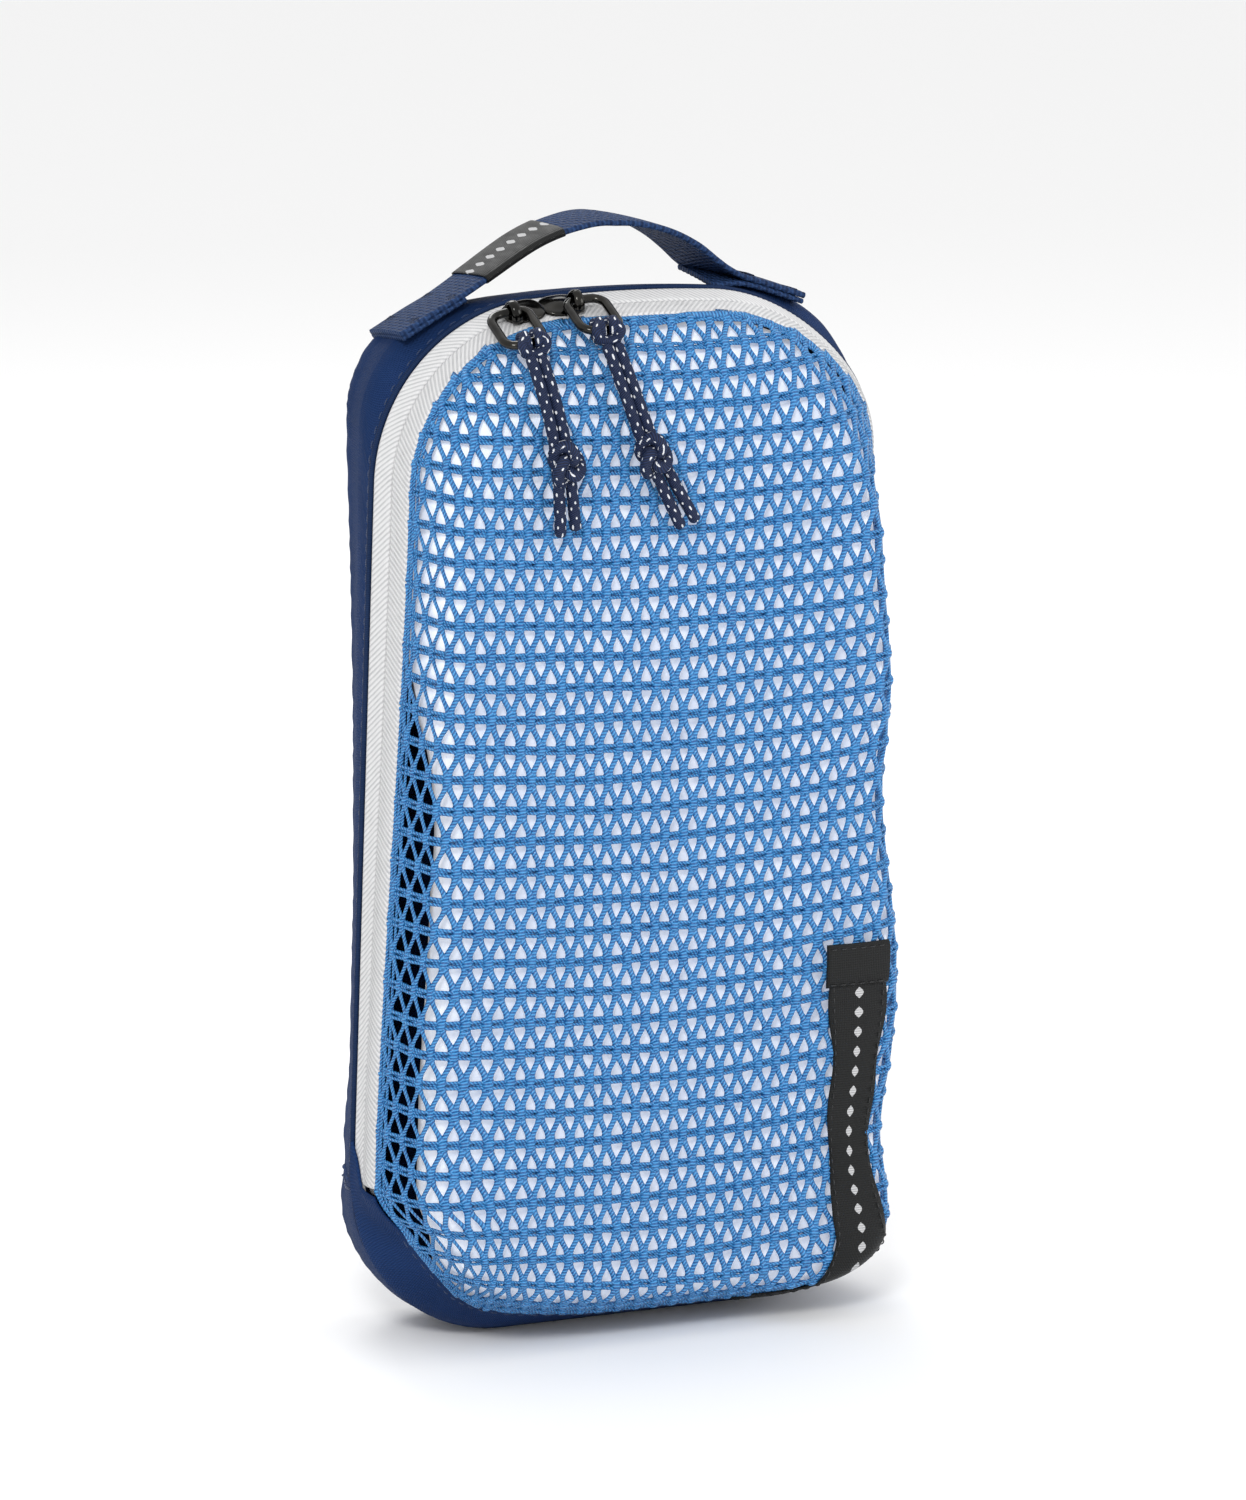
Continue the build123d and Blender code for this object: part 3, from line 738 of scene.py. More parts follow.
def mesh_front_y(x, z):
    """Depth of the puffy mesh front: steep walls with a tight edge low down, a gentle slope at the top."""
    upper = smooth_step(z, 178.0, 224.0)
    ripple = sum(np.sin(a * x + b * z + c) for a, b, c in FACE_WAVES)
    to_right = smooth_step(x, 20.0, 50.0)
    wall = (5.6 - 2.6 * to_right) * (1 - upper) + 13.0 * upper + 0.2 * ripple * (1 - upper)
    tight = 4.5 - 2.3 * upper
    f = np.maximum(inset_at(x, z) - MESH_SEAM_INSET, 0) / wall
    rise = f / (1 + f**tight) ** (1 / tight)
    height = np.clip(z / 235, 0, 1)
    dome = 0.9 * np.clip(1 - (x / 58) ** 2, 0, 1) * np.sin(np.pi * height) * rise
    full = 2.0 * bell(x, 47, 15) * np.sin(np.pi * height) ** 0.6 * rise
    return MESH_SEAM_Y - FACE_DEPTH * rise - dome - full - 0.16 * ripple * rise


def mesh_front_normal(x, z, h=0.15):
    """Outward normals of the front, from its slopes over a distance h."""
    dx = (mesh_front_y(x + h, z) - mesh_front_y(x - h, z)) / (2 * h)
    dz = (mesh_front_y(x, z + h) - mesh_front_y(x, z - h)) / (2 * h)
    return unit(np.stack([dx, -np.ones_like(dx), dz], -1))


class FrontMap:
    """Lays the mesh on its surface: u is the distance round it from the middle, v the distance up it."""

    def __init__(self):
        t = at_length(np.linspace(0, HALF_LENGTH, 1500))
        point, normal = outline(FRONT, t)
        edge = point - normal * (MESH_SEAM_INSET + 0.02)
        self.low, self.high = edge[:, 1].min() + 0.05, edge[:, 1].max() - 0.1
        up = np.linspace(self.low, self.high, 1800)
        depth = mesh_front_y(np.zeros_like(up), up)
        self.v = np.concatenate([[0], np.cumsum(np.hypot(np.diff(up), np.diff(depth)))])
        self.up = up
        self.rows = np.linspace(self.low, self.high, 520)
        half = half_width(edge, self.rows)
        q = np.linspace(0, 1, 260)
        share = 1 - (1 - q) ** 2.4
        self.tables = []
        self.grid = np.linspace(0, 1, 300)
        for sign in (-1.0, 1.0):
            x = sign * half[:, None] * share[None]
            y = mesh_front_y(x, np.broadcast_to(self.rows[:, None], x.shape))
            steps = np.hypot(np.diff(x, axis=1), np.diff(y, axis=1))
            travel = np.concatenate([np.zeros((len(x), 1)), np.cumsum(steps, axis=1)], axis=1)
            limit = travel[:, -1]
            table = np.stack([np.interp(self.grid * limit[k], travel[k], x[k]) for k in range(len(x))])
            self.tables.append((limit, table))

    def reach(self, z):
        """v at a height."""
        return self.v[np.searchsorted(self.up, z)]

    def height(self, v):
        return np.interp(v, self.v, self.up)

    def limit(self, u, v):
        """How far u may go at that height on its side."""
        z = self.height(v)
        left, right = (np.interp(z, self.rows, limit) for limit, _ in self.tables)
        return np.where(u < 0, left, right)

    def place(self, u, v, proud=0.0):
        """Points and outward normals for u and v, standing proud of the surface by some millimetres."""
        u, v = np.broadcast_arrays(np.asarray(u, float), np.asarray(v, float))
        z = self.height(v)
        row = (z - self.low) / (self.high - self.low) * (len(self.rows) - 1)
        r0 = np.clip(row.astype(int), 0, len(self.rows) - 2)
        rf = row - r0
        column = np.clip(np.abs(u) / np.maximum(self.limit(u, v), 1e-6), 0, 1) * (len(self.grid) - 1)
        c0 = np.clip(column.astype(int), 0, len(self.grid) - 2)
        cf = column - c0
        x = np.zeros_like(z)
        for side, (_, table) in zip((u < 0, u >= 0), self.tables):
            value = (table[r0, c0] * (1 - cf) + table[r0, c0 + 1] * cf) * (1 - rf) + (
                table[r0 + 1, c0] * (1 - cf) + table[r0 + 1, c0 + 1] * cf
            ) * rf
            x = np.where(side, value, x)
        normal = mesh_front_normal(x, z)
        point = np.stack([x, mesh_front_y(x, z), z], -1)
        return point + normal * np.asarray(proud)[..., None], normal


# ---------------------------------------------------------------- cords


def cord_line(points, name):
    """Centreline of a cord: the smooth NURBS line of its route, read from the curve itself."""
    curve = bpy.data.curves.new(name, "CURVE")
    curve.dimensions = "3D"
    spline = curve.splines.new("NURBS")
    spline.points.add(len(points) - 1)
    for spot, place in zip(spline.points, points):
        spot.co = (*(c * MM for c in place), 1.0)
    spline.order_u = 3
    spline.use_endpoint_u = True
    spline.resolution_u = 24
    holder = bpy.data.objects.new(name, curve)
    bpy.context.scene.collection.objects.link(holder)
    seen = holder.evaluated_get(bpy.context.evaluated_depsgraph_get())
    mesh = bpy.data.meshes.new_from_object(seen)
    line = np.array([v.co for v in mesh.vertices], float) / MM
    bpy.data.objects.remove(holder)
    bpy.data.curves.remove(curve)
    bpy.data.meshes.remove(mesh)
    return line


def braided_tube(line, radius, step=0.3, sides=20, close=True):
    """A braided cord round a line: two crossing sets of low ridges make its diamonds."""
    count = max(int(line_length(line) / step), 8)
    line = evenly(line, count)
    radii = rounded_ends(count, radius, min(0.45, 1.1 / line_length(line))) if close else radius
    points, faces, uv = tubes(line, radii, sides)
    around, length = uv[:, 0] * 2 * np.pi, uv[:, 1].max()
    along = uv[:, 1] * np.pi * round(2.2 * length / np.pi) / length
    ridge = np.abs(np.sin(3 * around + along)) + np.abs(np.sin(3 * around - along))
    centre = np.repeat(line, sides + 1, axis=0)
    points = centre + (points - centre) * (0.93 + 0.06 * ridge[:, None])
    return points, faces, uv


def knot_lines(centre):
    """Two cords tied together in a tight overhand knot, as two nested three-lobed turns."""
    f = np.linspace(0, 2 * np.pi, 90)
    lines = []
    for shift, size in ((0.0, 1.0), (0.5, 0.92)):
        a = f + shift
        x = (2.0 + 1.1 * np.cos(3 * a)) * np.cos(2 * a) * size
        z = (2.0 + 1.1 * np.cos(3 * a)) * np.sin(2 * a) * 1.4 * size
        y = 2.1 * np.sin(3 * a) * size
        lines.append(np.stack([x + centre[0], y + centre[1] - 0.9, z + centre[2]], -1))
    return lines


def hitch_lines(centre, lean):
    """Cow hitch on the ring: two turns round its bar and the bight that crosses over them."""
    a = math.radians(lean)
    bar = np.array([math.cos(a), 0, math.sin(a)])
    front = np.array([0, -0.9, -0.436])
    below = np.cross(bar, front)
    lines = []
    for side in (-1.0, 1.0):
        f = np.linspace(math.radians(-215), math.radians(115), 40)
        across, down = np.cos(f)[:, None], np.sin(f)[:, None]
        lines.append(centre + bar * side * (1.55 + 0.1 * down) + 2.15 * (front * across - below * down))
    half = ((1.5, 0.4, -2.2), (2.7, 2.3, -1.3), (1.9, 3.3, 0.2))
    spots = [(-x, y, z) for x, y, z in half] + [(0, 3.7, 0.7)] + [*reversed(half)]
    lines.append(curve_through([centre + bar * x + front * y + below * z for x, y, z in spots], 46))
    return lines


def add_cords():
    """The knotted pair of strands under each ring, and the hitch that ties it on."""
    for hand, route in CORD_ROUTES.items():
        body = "pull_" + hand
        centre, lean = HITCHES[hand]
        turns = joined(*[braided_tube(line, CORD_RADIUS, close=False) for line in knot_lines(route[2])])
        knot = add_piece("pull_knot_" + hand, turns, "cord_navy", body, "cord_knot_" + hand)
        turns = joined(*[braided_tube(line, HITCH_RADIUS) for line in hitch_lines(np.array(centre), lean)])
        hitch = add_piece("pull_hitch_" + hand, turns, "cord_navy", body, "cord_hitch_" + hand)
        for index, side in enumerate((-1.0, 1.0)):
            name = f"pull_strand_{hand}_{index + 1}"
            spots = [(x + side * STRAND_OFFSET, y, z) for x, y, z in route]
            x, y, z = spots[-1]
            spots[-1] = (x + side * 0.5, y, z + index * 1.2)  # the ends part, and one is a little shorter
            line = cord_line(spots, name + "_route")
            strand = add_piece(name, braided_tube(line, CORD_RADIUS), "cord_navy", body, "pull_cord_" + hand)
            [c * MM for c in spots[0]]


# ---------------------------------------------------------------- sliders and rings


# each slider's arc on the outline: its centre, its radius and how far round it the slider stands
SLIDER_ARCS = {"left": (-18.5, 193.84, 40.5, 10.7), "right": (0.0, -65.0, 300.0, 3.27)}


def slider_place(hand):
    """Turns slider coordinates (along the zipper, across it, standing out) into the model's."""
    x0, z0, radius, lean = SLIDER_ARCS[hand]
    a = math.radians(lean)
    base = np.array([x0 - radius * math.sin(a), 0.0, z0 + radius * math.cos(a)])
    run = np.array([math.cos(a), 0.0, math.sin(a)])
    outward = np.array([-math.sin(a), 0.0, math.cos(a)])
    across = np.array([0.0, -ZIP_SLOPE[0], 0.0]) - ZIP_SLOPE[1] * outward
    proud = np.array([0.0, -ZIP_SLOPE[1], 0.0]) + ZIP_SLOPE[0] * outward

    def place(points):
        points = np.asarray(points, float)
        return base + points[..., :1] * run + points[..., 1:2] * across + points[..., 2:] * proud

    return place


# from a slider's middle out over its rim and back underneath: share of its size, and height
SLIDER_SHARE = (0.0, 0.25, 0.45, 0.62, 0.76, 0.87, 0.94, 0.98, 1.0, 1.0, 0.98, 0.94, 0.8, 0.4, 0.0)
SLIDER_RISE = (2.5, 2.35, 2.0, 1.76, 1.64, 1.56, 1.46, 1.25, 1.0, 0.62, 0.4, 0.3, 0.28, 0.28, 0.28)
SLIDER_HALF_LENGTH, SLIDER_HALF_WIDTH = 4.7, 4.6
SLIDER_SQUARENESS = 2.7  # 2 would be an ellipse


def slider_body():
    """A domed shield: broad at its shoulders, narrower at its tail, with a rolled rim."""
    turn = np.linspace(0, 2 * np.pi, 65)
    share, rise = np.array(SLIDER_SHARE)[:, None], np.array(SLIDER_RISE)[:, None] * 0.8
    power = SLIDER_SQUARENESS
    square = (np.abs(np.cos(turn)) ** power + np.abs(np.sin(turn)) ** power) ** (-1 / power)
    length = SLIDER_HALF_LENGTH * square * np.cos(turn)
    width = (SLIDER_HALF_WIDTH - 0.7 * np.sin(turn * 0.5) ** 2) * square * np.sin(turn)
    points = np.stack(np.broadcast_arrays(share * length, ZIP_CENTRE + share * width, rise), -1)
    uv = np.stack(np.broadcast_arrays(turn[None], rise), -1)
    return points.reshape(-1, 3), grid_faces(*points.shape[:2]), uv.reshape(-1, 2)


def slider_bridge(side):
    """The arched bar that holds the ring, over the end of the slider nearer its own side."""
    f = np.linspace(0, np.pi, 26)
    spread = 1 + 0.25 * np.abs(np.cos(f)) ** 3
    line = np.stack([0 * f + side * 3.0, 7.6 - 2.25 * np.cos(f), 1.1 + 3.45 * np.sin(f) ** 0.8], -1)
    return tubes(line, 0.5 * spread, 12, (1.0, 0.0, 0.0), 2.1)


# half width, length, corner radius and wire radius of a ring; then its near bar's place on the slider
RING_HALF, RING_REACH, RING_CORNER, RING_WIRE = 4.5, 12.7, 3.0, 1.12
RING_OFFSET, RING_HEIGHT, RING_ACROSS = 4.6, 2.7, 7.6
RING_DROOP = math.radians(24)  # how far below level a ring hangs


def pull_ring(place, side):
    """Centreline of the rounded ring: its near bar lies under the bridge, its far bar hangs forwards."""
    near = place(np.array([side * RING_OFFSET, RING_ACROSS, RING_HEIGHT]))
    run = place(np.array([1.0, 0.0, 0.0])) - place(np.zeros(3))
    reach = np.array([0.0, -math.cos(RING_DROOP), -math.sin(RING_DROOP)])
    line, corner = [], RING_CORNER
    centres = ((1, RING_REACH - corner), (-1, RING_REACH - corner), (-1, corner), (1, corner))
    for k, (hand, out) in enumerate(centres):
        for a in np.linspace(0, math.pi / 2, 9) + k * math.pi / 2:
            across = hand * (RING_HALF - corner) + corner * math.cos(a)
            line.append(near + run * across + reach * (out + corner * math.sin(a)))
    line = np.array(line)
    start = (line[0] + line[-1]) / 2
    return evenly(np.vstack([start, line, start]), 90)


def add_metal():
    """Domed sliders with an arched bridge, and the rounded rings that hang from them."""
    for hand, side in (("left", -1.0), ("right", 1.0)):
        place = slider_place(hand)
        points, faces, uv = joined(slider_body(), slider_bridge(side))
        body = "slider_" + hand
        add_piece("zipper_slider_" + hand, (place(points), faces, uv), "slider_metal", body, body)
        ring = tubes(pull_ring(place, side), RING_WIRE, 14, (0.0, 0.42, -0.91), 0.86)
        add_piece("pull_loop_" + hand, ring, "slider_metal", "pull_" + hand, "pull_ring_" + hand)


# ---------------------------------------------------------------- shell


def fabric_piece(name, s, ys, node, thickness=0.7, tongue=0.0):
    """A run of the shell with thickness. tongue is how far its ends climb over the zipper's own ends."""
    grid_s, grid_y = np.meshgrid(s, ys, indexing="ij")
    near_end = np.clip(1 - (np.abs(grid_s) - np.abs(s).min()) / 26.0, 0, 1)
    climb = tongue * np.interp(grid_y, (-11.0, -6.2, -5.6, 0.4, 1.0), (-0.1, 0.0, 0.1, 1.0, 0.0))
    grid_s = grid_s - np.sign(grid_s) * climb * near_end
    over = -float(tongue > 0) * smooth_step(near_end, 0.5, 0.8) * smooth_step(-grid_y, -0.9, 0.2)
    outer = shell_points(grid_s, grid_y, over)
    inner = shell_points(grid_s, np.clip(grid_y, ys[0] + 0.1, ys[-1] - 0.1), thickness + over)
    length = np.arange(len(s)) * abs(s[1] - s[0])
    uv = np.stack(np.broadcast_arrays(grid_y, length[:, None]), -1)
    add_piece(name, sheet(outer, inner, uv), "navy_fabric", "shell", node)


BACK_SEAM_INSET, BACK_PILLOW = 4.4, 0.9  # where the back panel is seamed in, and how far it swells


def back_grid(y, rows=150, columns=84):
    """The back panel as a grid: rows climb it, columns cross it, both ending on its own outline."""
    point, normal = outline(BACK, at_length(np.linspace(0, HALF_LENGTH, 1400)))
    edge = point - normal * (BACK_SEAM_INSET + side_sink(point, normal))[:, None]
    low, high = edge[:, 1].min(), edge[:, 1].max()
    f = np.linspace(0, 1, rows)
    z = low + (high - low) * (0.5 - 0.5 * np.cos(np.pi * f)) ** 0.92
    half = half_width(edge, z)
    q = np.sin(np.linspace(-np.pi / 2, np.pi / 2, columns))
    x = half[:, None] * q[None]
    z = np.broadcast_to(z[:, None], x.shape)
    swell = (1 - q[None] ** 4) * np.sin(np.pi * f)[:, None] ** 0.5
    ripple = sum(np.sin(a * x * 1.4 + b * z * 0.6 + c) for a, b, c in WAVES) * 0.16
    rim = np.minimum(half[:, None] * (1 - np.abs(q))[None], np.minimum(z - low, high - z))
    round_it = np.arctan2(z - 120, x * 1.6) * 95
    pucker = 0.22 * np.sin(round_it * 0.9 + 1.7 * np.sin(round_it * 0.23)) * bell(rim, 3.5, 3.0)
    return np.stack([x, y + BACK_PILLOW * swell + ripple * swell + pucker * swell, z], -1)


def add_shell():
    """The side gusset, the bottom with its corner wraps, and the back panel."""
    ys = np.array([1.0, 1.4, 2.2, 3.6, 5.2, 7, 9, 11, 13, 15, 17, 18.4, 19.8, 21, 22, 22.8, 23.4, 23.8, 24.0])
    fabric_piece("shell_gusset", upper_run(FOLD_Z, 1.6), ys, "side_gusset")
    wrap = np.concatenate([[-11.0, -10.6, -9, -7.5, -6.2, -5.6, -4.5, -3.2, -2, -1, 0.0, 0.4], ys])
    fabric_piece("shell_bottom", lower_run(FOLD_Z, 1.6), wrap, "bottom_panel", tongue=9.5)
    outer, inner = back_grid(24.3), back_grid(23.7)
    add_piece("shell_back", sheet(outer, inner, outer[..., [0, 2]]), "navy_fabric", "shell", "back_panel")
    add_shell_seams()


def shell_line(s, y, inwards):
    """A line round the shell at one depth, and the way it faces."""
    s = np.asarray(s, float)
    line = shell_points(s, np.full_like(s, y), inwards)
    normal = outline(SIDE, at_length(s))[1]
    return line, standing(normal, 0.0)


def add_shell_seams():
    """Bound seams round the back and the zipper, the panel seam on each side, and their stitches."""
    line, _ = shell_line(whole_run(1.2), 24.0, 0.35)
    add_piece("back_piping", tubes(line, 1.15, 12), "navy_binding", "shell", "back_binding")
    upper = upper_run(FOLD_Z, 1.0)
    line, facing = shell_line(upper, 1.0, 0.1)
    add_piece("zipper_piping", tubes(line, 0.75, 10, facing), "navy_binding", "shell", "zipper_seam_rear")
    rows = [
        stitch_row(*shell_line(upper, 2.7, 0.06), radius=0.2),
        stitch_row(*shell_line(lower_run(FOLD_Z, 1.0), -9.6, 0.06), radius=0.2),
    ]
    folds = []
    for side in (-1.0, 1.0):
        s = np.full(40, side * length_at_height(FOLD_Z - 2.4))
        rows.append(stitch_row(shell_points(s, np.linspace(-10.0, 22.5, 40), -0.02), (side, 0.0, 0.0)))
        s = np.full(60, side * length_at_height(FOLD_Z - 0.2))
        line = shell_points(s, np.linspace(1.6, 22.6, 60), 0.1)
        folds.append(tubes(line, rounded_ends(60, 0.55, 0.08), 10, (side, 0.0, 0.0)))
    add_piece("shell_stitches", joined(*rows), "navy_thread", "shell", tidy=False)
    add_piece("side_seams", joined(*folds), "navy_fabric", "shell")


# ---------------------------------------------------------------- zipper


# where each half of the tape begins and ends across the zipper, and how high its ridges stand
BACK_HALF, BACK_RIDGE = (0.1, ZIP_CENTRE), 0.16
FRONT_HALF, FRONT_RIDGE = (5.88, 11.9), 0.34
COIL_PITCH, COIL_WIRE = 1.25, 0.27


def tape_half(s, start, end, direction, height):
    """Top and underside of one half of the zipper tape, with slanting woven ridges."""
    across = np.concatenate([[0.0, 0.04, 0.12], np.linspace(0.2, 0.86, 9), [0.93, 0.98, 1.0]])
    along = start + (end - start) * across
    fall = np.where(across < 0.15, (1 - across / 0.15) ** 2, 0)
    fall = fall + np.where(across > 0.88, ((across - 0.88) / 0.12) ** 2, 0)
    grid_s, grid_a = np.meshgrid(s, along, indexing="ij")
    saw = np.mod(grid_s / RIDGE_STEP + direction * grid_a * RIDGE_SLANT, 1.0)
    ridge = np.where(saw < 0.7, saw / 0.7, (1 - saw) / 0.3)
    out = height * ridge * (1 - fall)[None] - 0.34 * fall[None] + 0.12
    serrated = grid_a + (0.55 * (ridge - 0.5)) * (across > 0.9)[None] * (direction > 0)
    top = zip_points(grid_s, serrated, out)
    under = zip_points(grid_s, grid_a, np.full_like(grid_a, -0.55))
    return top, under, np.stack([grid_a, grid_s], -1)


def add_zipper():
    """The two tape halves, with the front half's ends tucked in, and the coil under each."""
    tape = sheet(*tape_half(upper_run(35.5, 0.24), *BACK_HALF, -1.0, BACK_RIDGE))
    add_piece("zipper_tape_back_half", tape, "zipper_white", "shell", "zipper_tape_rear", "zipper_end_tabs")
    s = upper_run(36.6, 0.24)
    top, under, uv = tape_half(s, *FRONT_HALF, 1.0, FRONT_RIDGE)
    end = np.abs(s).max()
    tuck = -1.5 * smooth_step(np.abs(s), end - 2.6, end - 1.2)[:, None]
    for grid in (top, under):
        grid[..., 0] += tuck * outline(FRONT, at_length(s))[1][:, :1]
        grid[..., 1] -= tuck * 0.3
    add_piece("zipper_tape_front_half", sheet(top, under, uv), "zipper_white", "lid", "zipper_tape_front")
    run = upper_run(39.0, 0.17)
    turn = 2 * np.pi * run / COIL_PITCH
    for half, along, body, node in (("back", 4.75, "shell", "rear"), ("front", 7.0, "lid", "front")):
        line = zip_points(run, along + 0.85 * np.cos(turn), -1.3 + 0.42 * np.sin(turn))
        coil = tubes(line, COIL_WIRE, 5)
        add_piece(f"zipper_coil_{half}_half", coil, "zipper_coil", body, "zipper_coil_" + node, tidy=False)


# ---------------------------------------------------------------- mesh front


BAND_STEP, COLUMN_STEP = 6.85, 4.55
COLUMNS = np.arange(-21, 22)
STRAND_RADIUS, STRAND_SWELL = 0.66, 0.85  # a strand at its middle, and how much it grows at its ends
BAND_YARN, BAND_SPREAD = 0.42, 0.62  # a band is three yarns: their radius and how far apart they lie


def row_sag(u, v):
    """How far the knitted rows rise above level at each side of the cube."""
    left = 5.2 * (np.maximum(8.0 - u, 0) / 83.0) ** 1.7
    right = 4.1 * (np.maximum(u - 13.0, 0) / 49.0) ** 1.5
    return v + (left + right) * (1 - 0.5 * smooth_step(v, 185.0, 235.0))


def slimmer_at_side(u):
    """The yarns are pulled thin down the unbacked left side wall."""
    return 1 - 0.3 * smooth_step(-u, 46.0, 54.0)


def add_strands(front, bands, shift_u, shift_v):
    """Strands that slant from each band to the next, thick where they are knotted and thin between."""
    paths = []
    f = np.linspace(0, 1, 9)
    for i, v0 in enumerate(bands):
        for j, column in enumerate(COLUMNS[:-1]):
            u0 = (column + 0.5 * (i % 2)) * COLUMN_STEP + shift_u[i, j]
            for side in (-1, 1):
                other = min(max(j + (side if (i % 2) == (side > 0) else 0), 0), len(COLUMNS) - 1)
                u1 = u0 - shift_u[i, j] + side * COLUMN_STEP / 2 + shift_u[i + 1, other]
                u = u0 + (u1 - u0) * (0.12 * f + 0.88 * (1 - np.cos(np.pi * f)) / 2)
                v = v0 + shift_v[i, j] + (BAND_STEP + shift_v[i + 1, other] - shift_v[i, j]) * f
                paths.append((u, row_sag(u, v), side))
    u, v, lean = (np.array([p[k] for p in paths]) for k in range(3))
    top = front.v[-1]
    inside = ((v > 0.1) & (v < top)).sum(axis=1) > 2
    u, v, lean = u[inside], np.clip(v[inside], 0, top), lean[inside]
    room = front.limit(u, v)
    keep = (np.abs(u) < room).sum(axis=1) > 2
    u, v, room, lean = u[keep], v[keep], room[keep], lean[keep]
    u = np.clip(u, -room, room)
    line, normal = front.place(u, v, 0.1 * np.sin(np.pi * f) + 0 * u)
    swelling = np.abs(np.cos(np.pi * f)) ** 5
    width = (STRAND_RADIUS + STRAND_SWELL * swelling) * slimmer_at_side(u)
    thick = 0.75 - 0.38 * swelling
    for side, name, node in ((-1, "mesh_strands_a", "mesh_panel"), (1, "mesh_strands_b", "mesh_panel_lower")):
        own = lean == side
        strands = tubes(line[own], width[own], 6, normal[own], thick[None, :, None, None])
        add_piece(name, strands, "mesh_blue", "fold", node, tidy=False)


def add_bands(front, bands):
    """The level bands, each of three yarns woven over and under one another."""
    rows, top = [], front.v[-1]
    q = np.linspace(-1, 1, 170)
    for i, v0 in enumerate(bands):
        for offset in (-BAND_SPREAD, 0.0, BAND_SPREAD):
            u = q * (front.limit(q, np.full_like(q, np.clip(v0, 0, top))) - 0.7)
            for _ in range(3):
                v = np.clip(row_sag(u, v0 + 0.16 * np.sin(q * 9 + i) + offset), 0, top)
                u = q * (front.limit(q, v) - 0.7)
            if (v > 0).sum() > 40:
                rows.append((u, v))
    u, v = np.swapaxes(np.array(rows), 0, 1)
    order = (np.arange(len(u)) % 3)[:, None]
    weave = 0.22 + 0.2 * np.sin(2 * np.pi * u / COLUMN_STEP + order * np.pi) - 0.5 * (order == 1)
    line, normal = front.place(u, v, weave)
    add_piece("mesh_bands", tubes(line, BAND_YARN, 5, normal), "mesh_blue", "fold", tidy=False)


def add_knots(front, bands, shift_u, shift_v):
    """A small upright knot wherever strands meet on a band."""
    spots, top = [], front.v[-1]
    for i, v0 in enumerate(bands):
        for j, column in enumerate(COLUMNS):
            u0 = (column + 0.5 * (i % 2)) * COLUMN_STEP + shift_u[i, j]
            spots.append((u0, row_sag(u0, v0 + shift_v[i, j]), random.uniform(-0.35, 0.35)))
    spots = np.array(spots)
    spots = spots[(spots[:, 1] > 0.5) & (spots[:, 1] < top - 0.5)]
    spots = spots[np.abs(spots[:, 0]) < front.limit(spots[:, 0], spots[:, 1]) - 0.4]
    reach = np.linspace(-1, 1, 6)
    u = spots[:, 0:1] + reach * 0.35 * (1 + spots[:, 2:3])
    v = spots[:, 1:2] + reach * 1.35
    line, normal = front.place(u, np.clip(v, 0, top), 0.3)
    swell = np.array([0.25, 0.85, 1.12, 1.12, 0.85, 0.25])
    knots = tubes(line, swell * slimmer_at_side(u), 6, normal, 0.75)
    add_piece("mesh_knots", knots, "mesh_blue", "fold", tidy=False)


def add_hem():
    """Three yarns side by side along the mesh's seam."""
    point, normal = outline(FRONT, at_length(whole_run(0.9)))
    hem = []
    for inset, radius in ((MESH_SEAM_INSET, 0.42), (5.1, 0.38), (5.6, 0.34)):
        flat = point - normal * inset
        hem.append(tubes(standing(flat, mesh_front_y(flat[:, 0], flat[:, 1])), radius, 8))
    add_piece("mesh_hem", joined(*hem), "mesh_blue", "fold", "mesh_seam", "mesh_seam_lower")


def add_mesh_front(front):
    """The knitted front, whose knots are each a little out of place."""
    bands = np.arange(2.2 - BAND_STEP, front.v[-1], BAND_STEP)
    shift_u, shift_v = (random.normal(0, spread, (len(bands) + 1, len(COLUMNS))) for spread in (0.13, 0.12))
    add_strands(front, bands, shift_u, shift_v)
    add_bands(front, bands)
    add_knots(front, bands, shift_u, shift_v)
    add_hem()


# height and depth of each crease in the white sheet
FILLER_CREASES = ((146, 0.8), (73, 0.8), (104, 0.35), (187, 0.3))
FILLER_INSET, FILLER_ROLL, FILLER_THICKNESS = 6.2, 4.5, 2.2


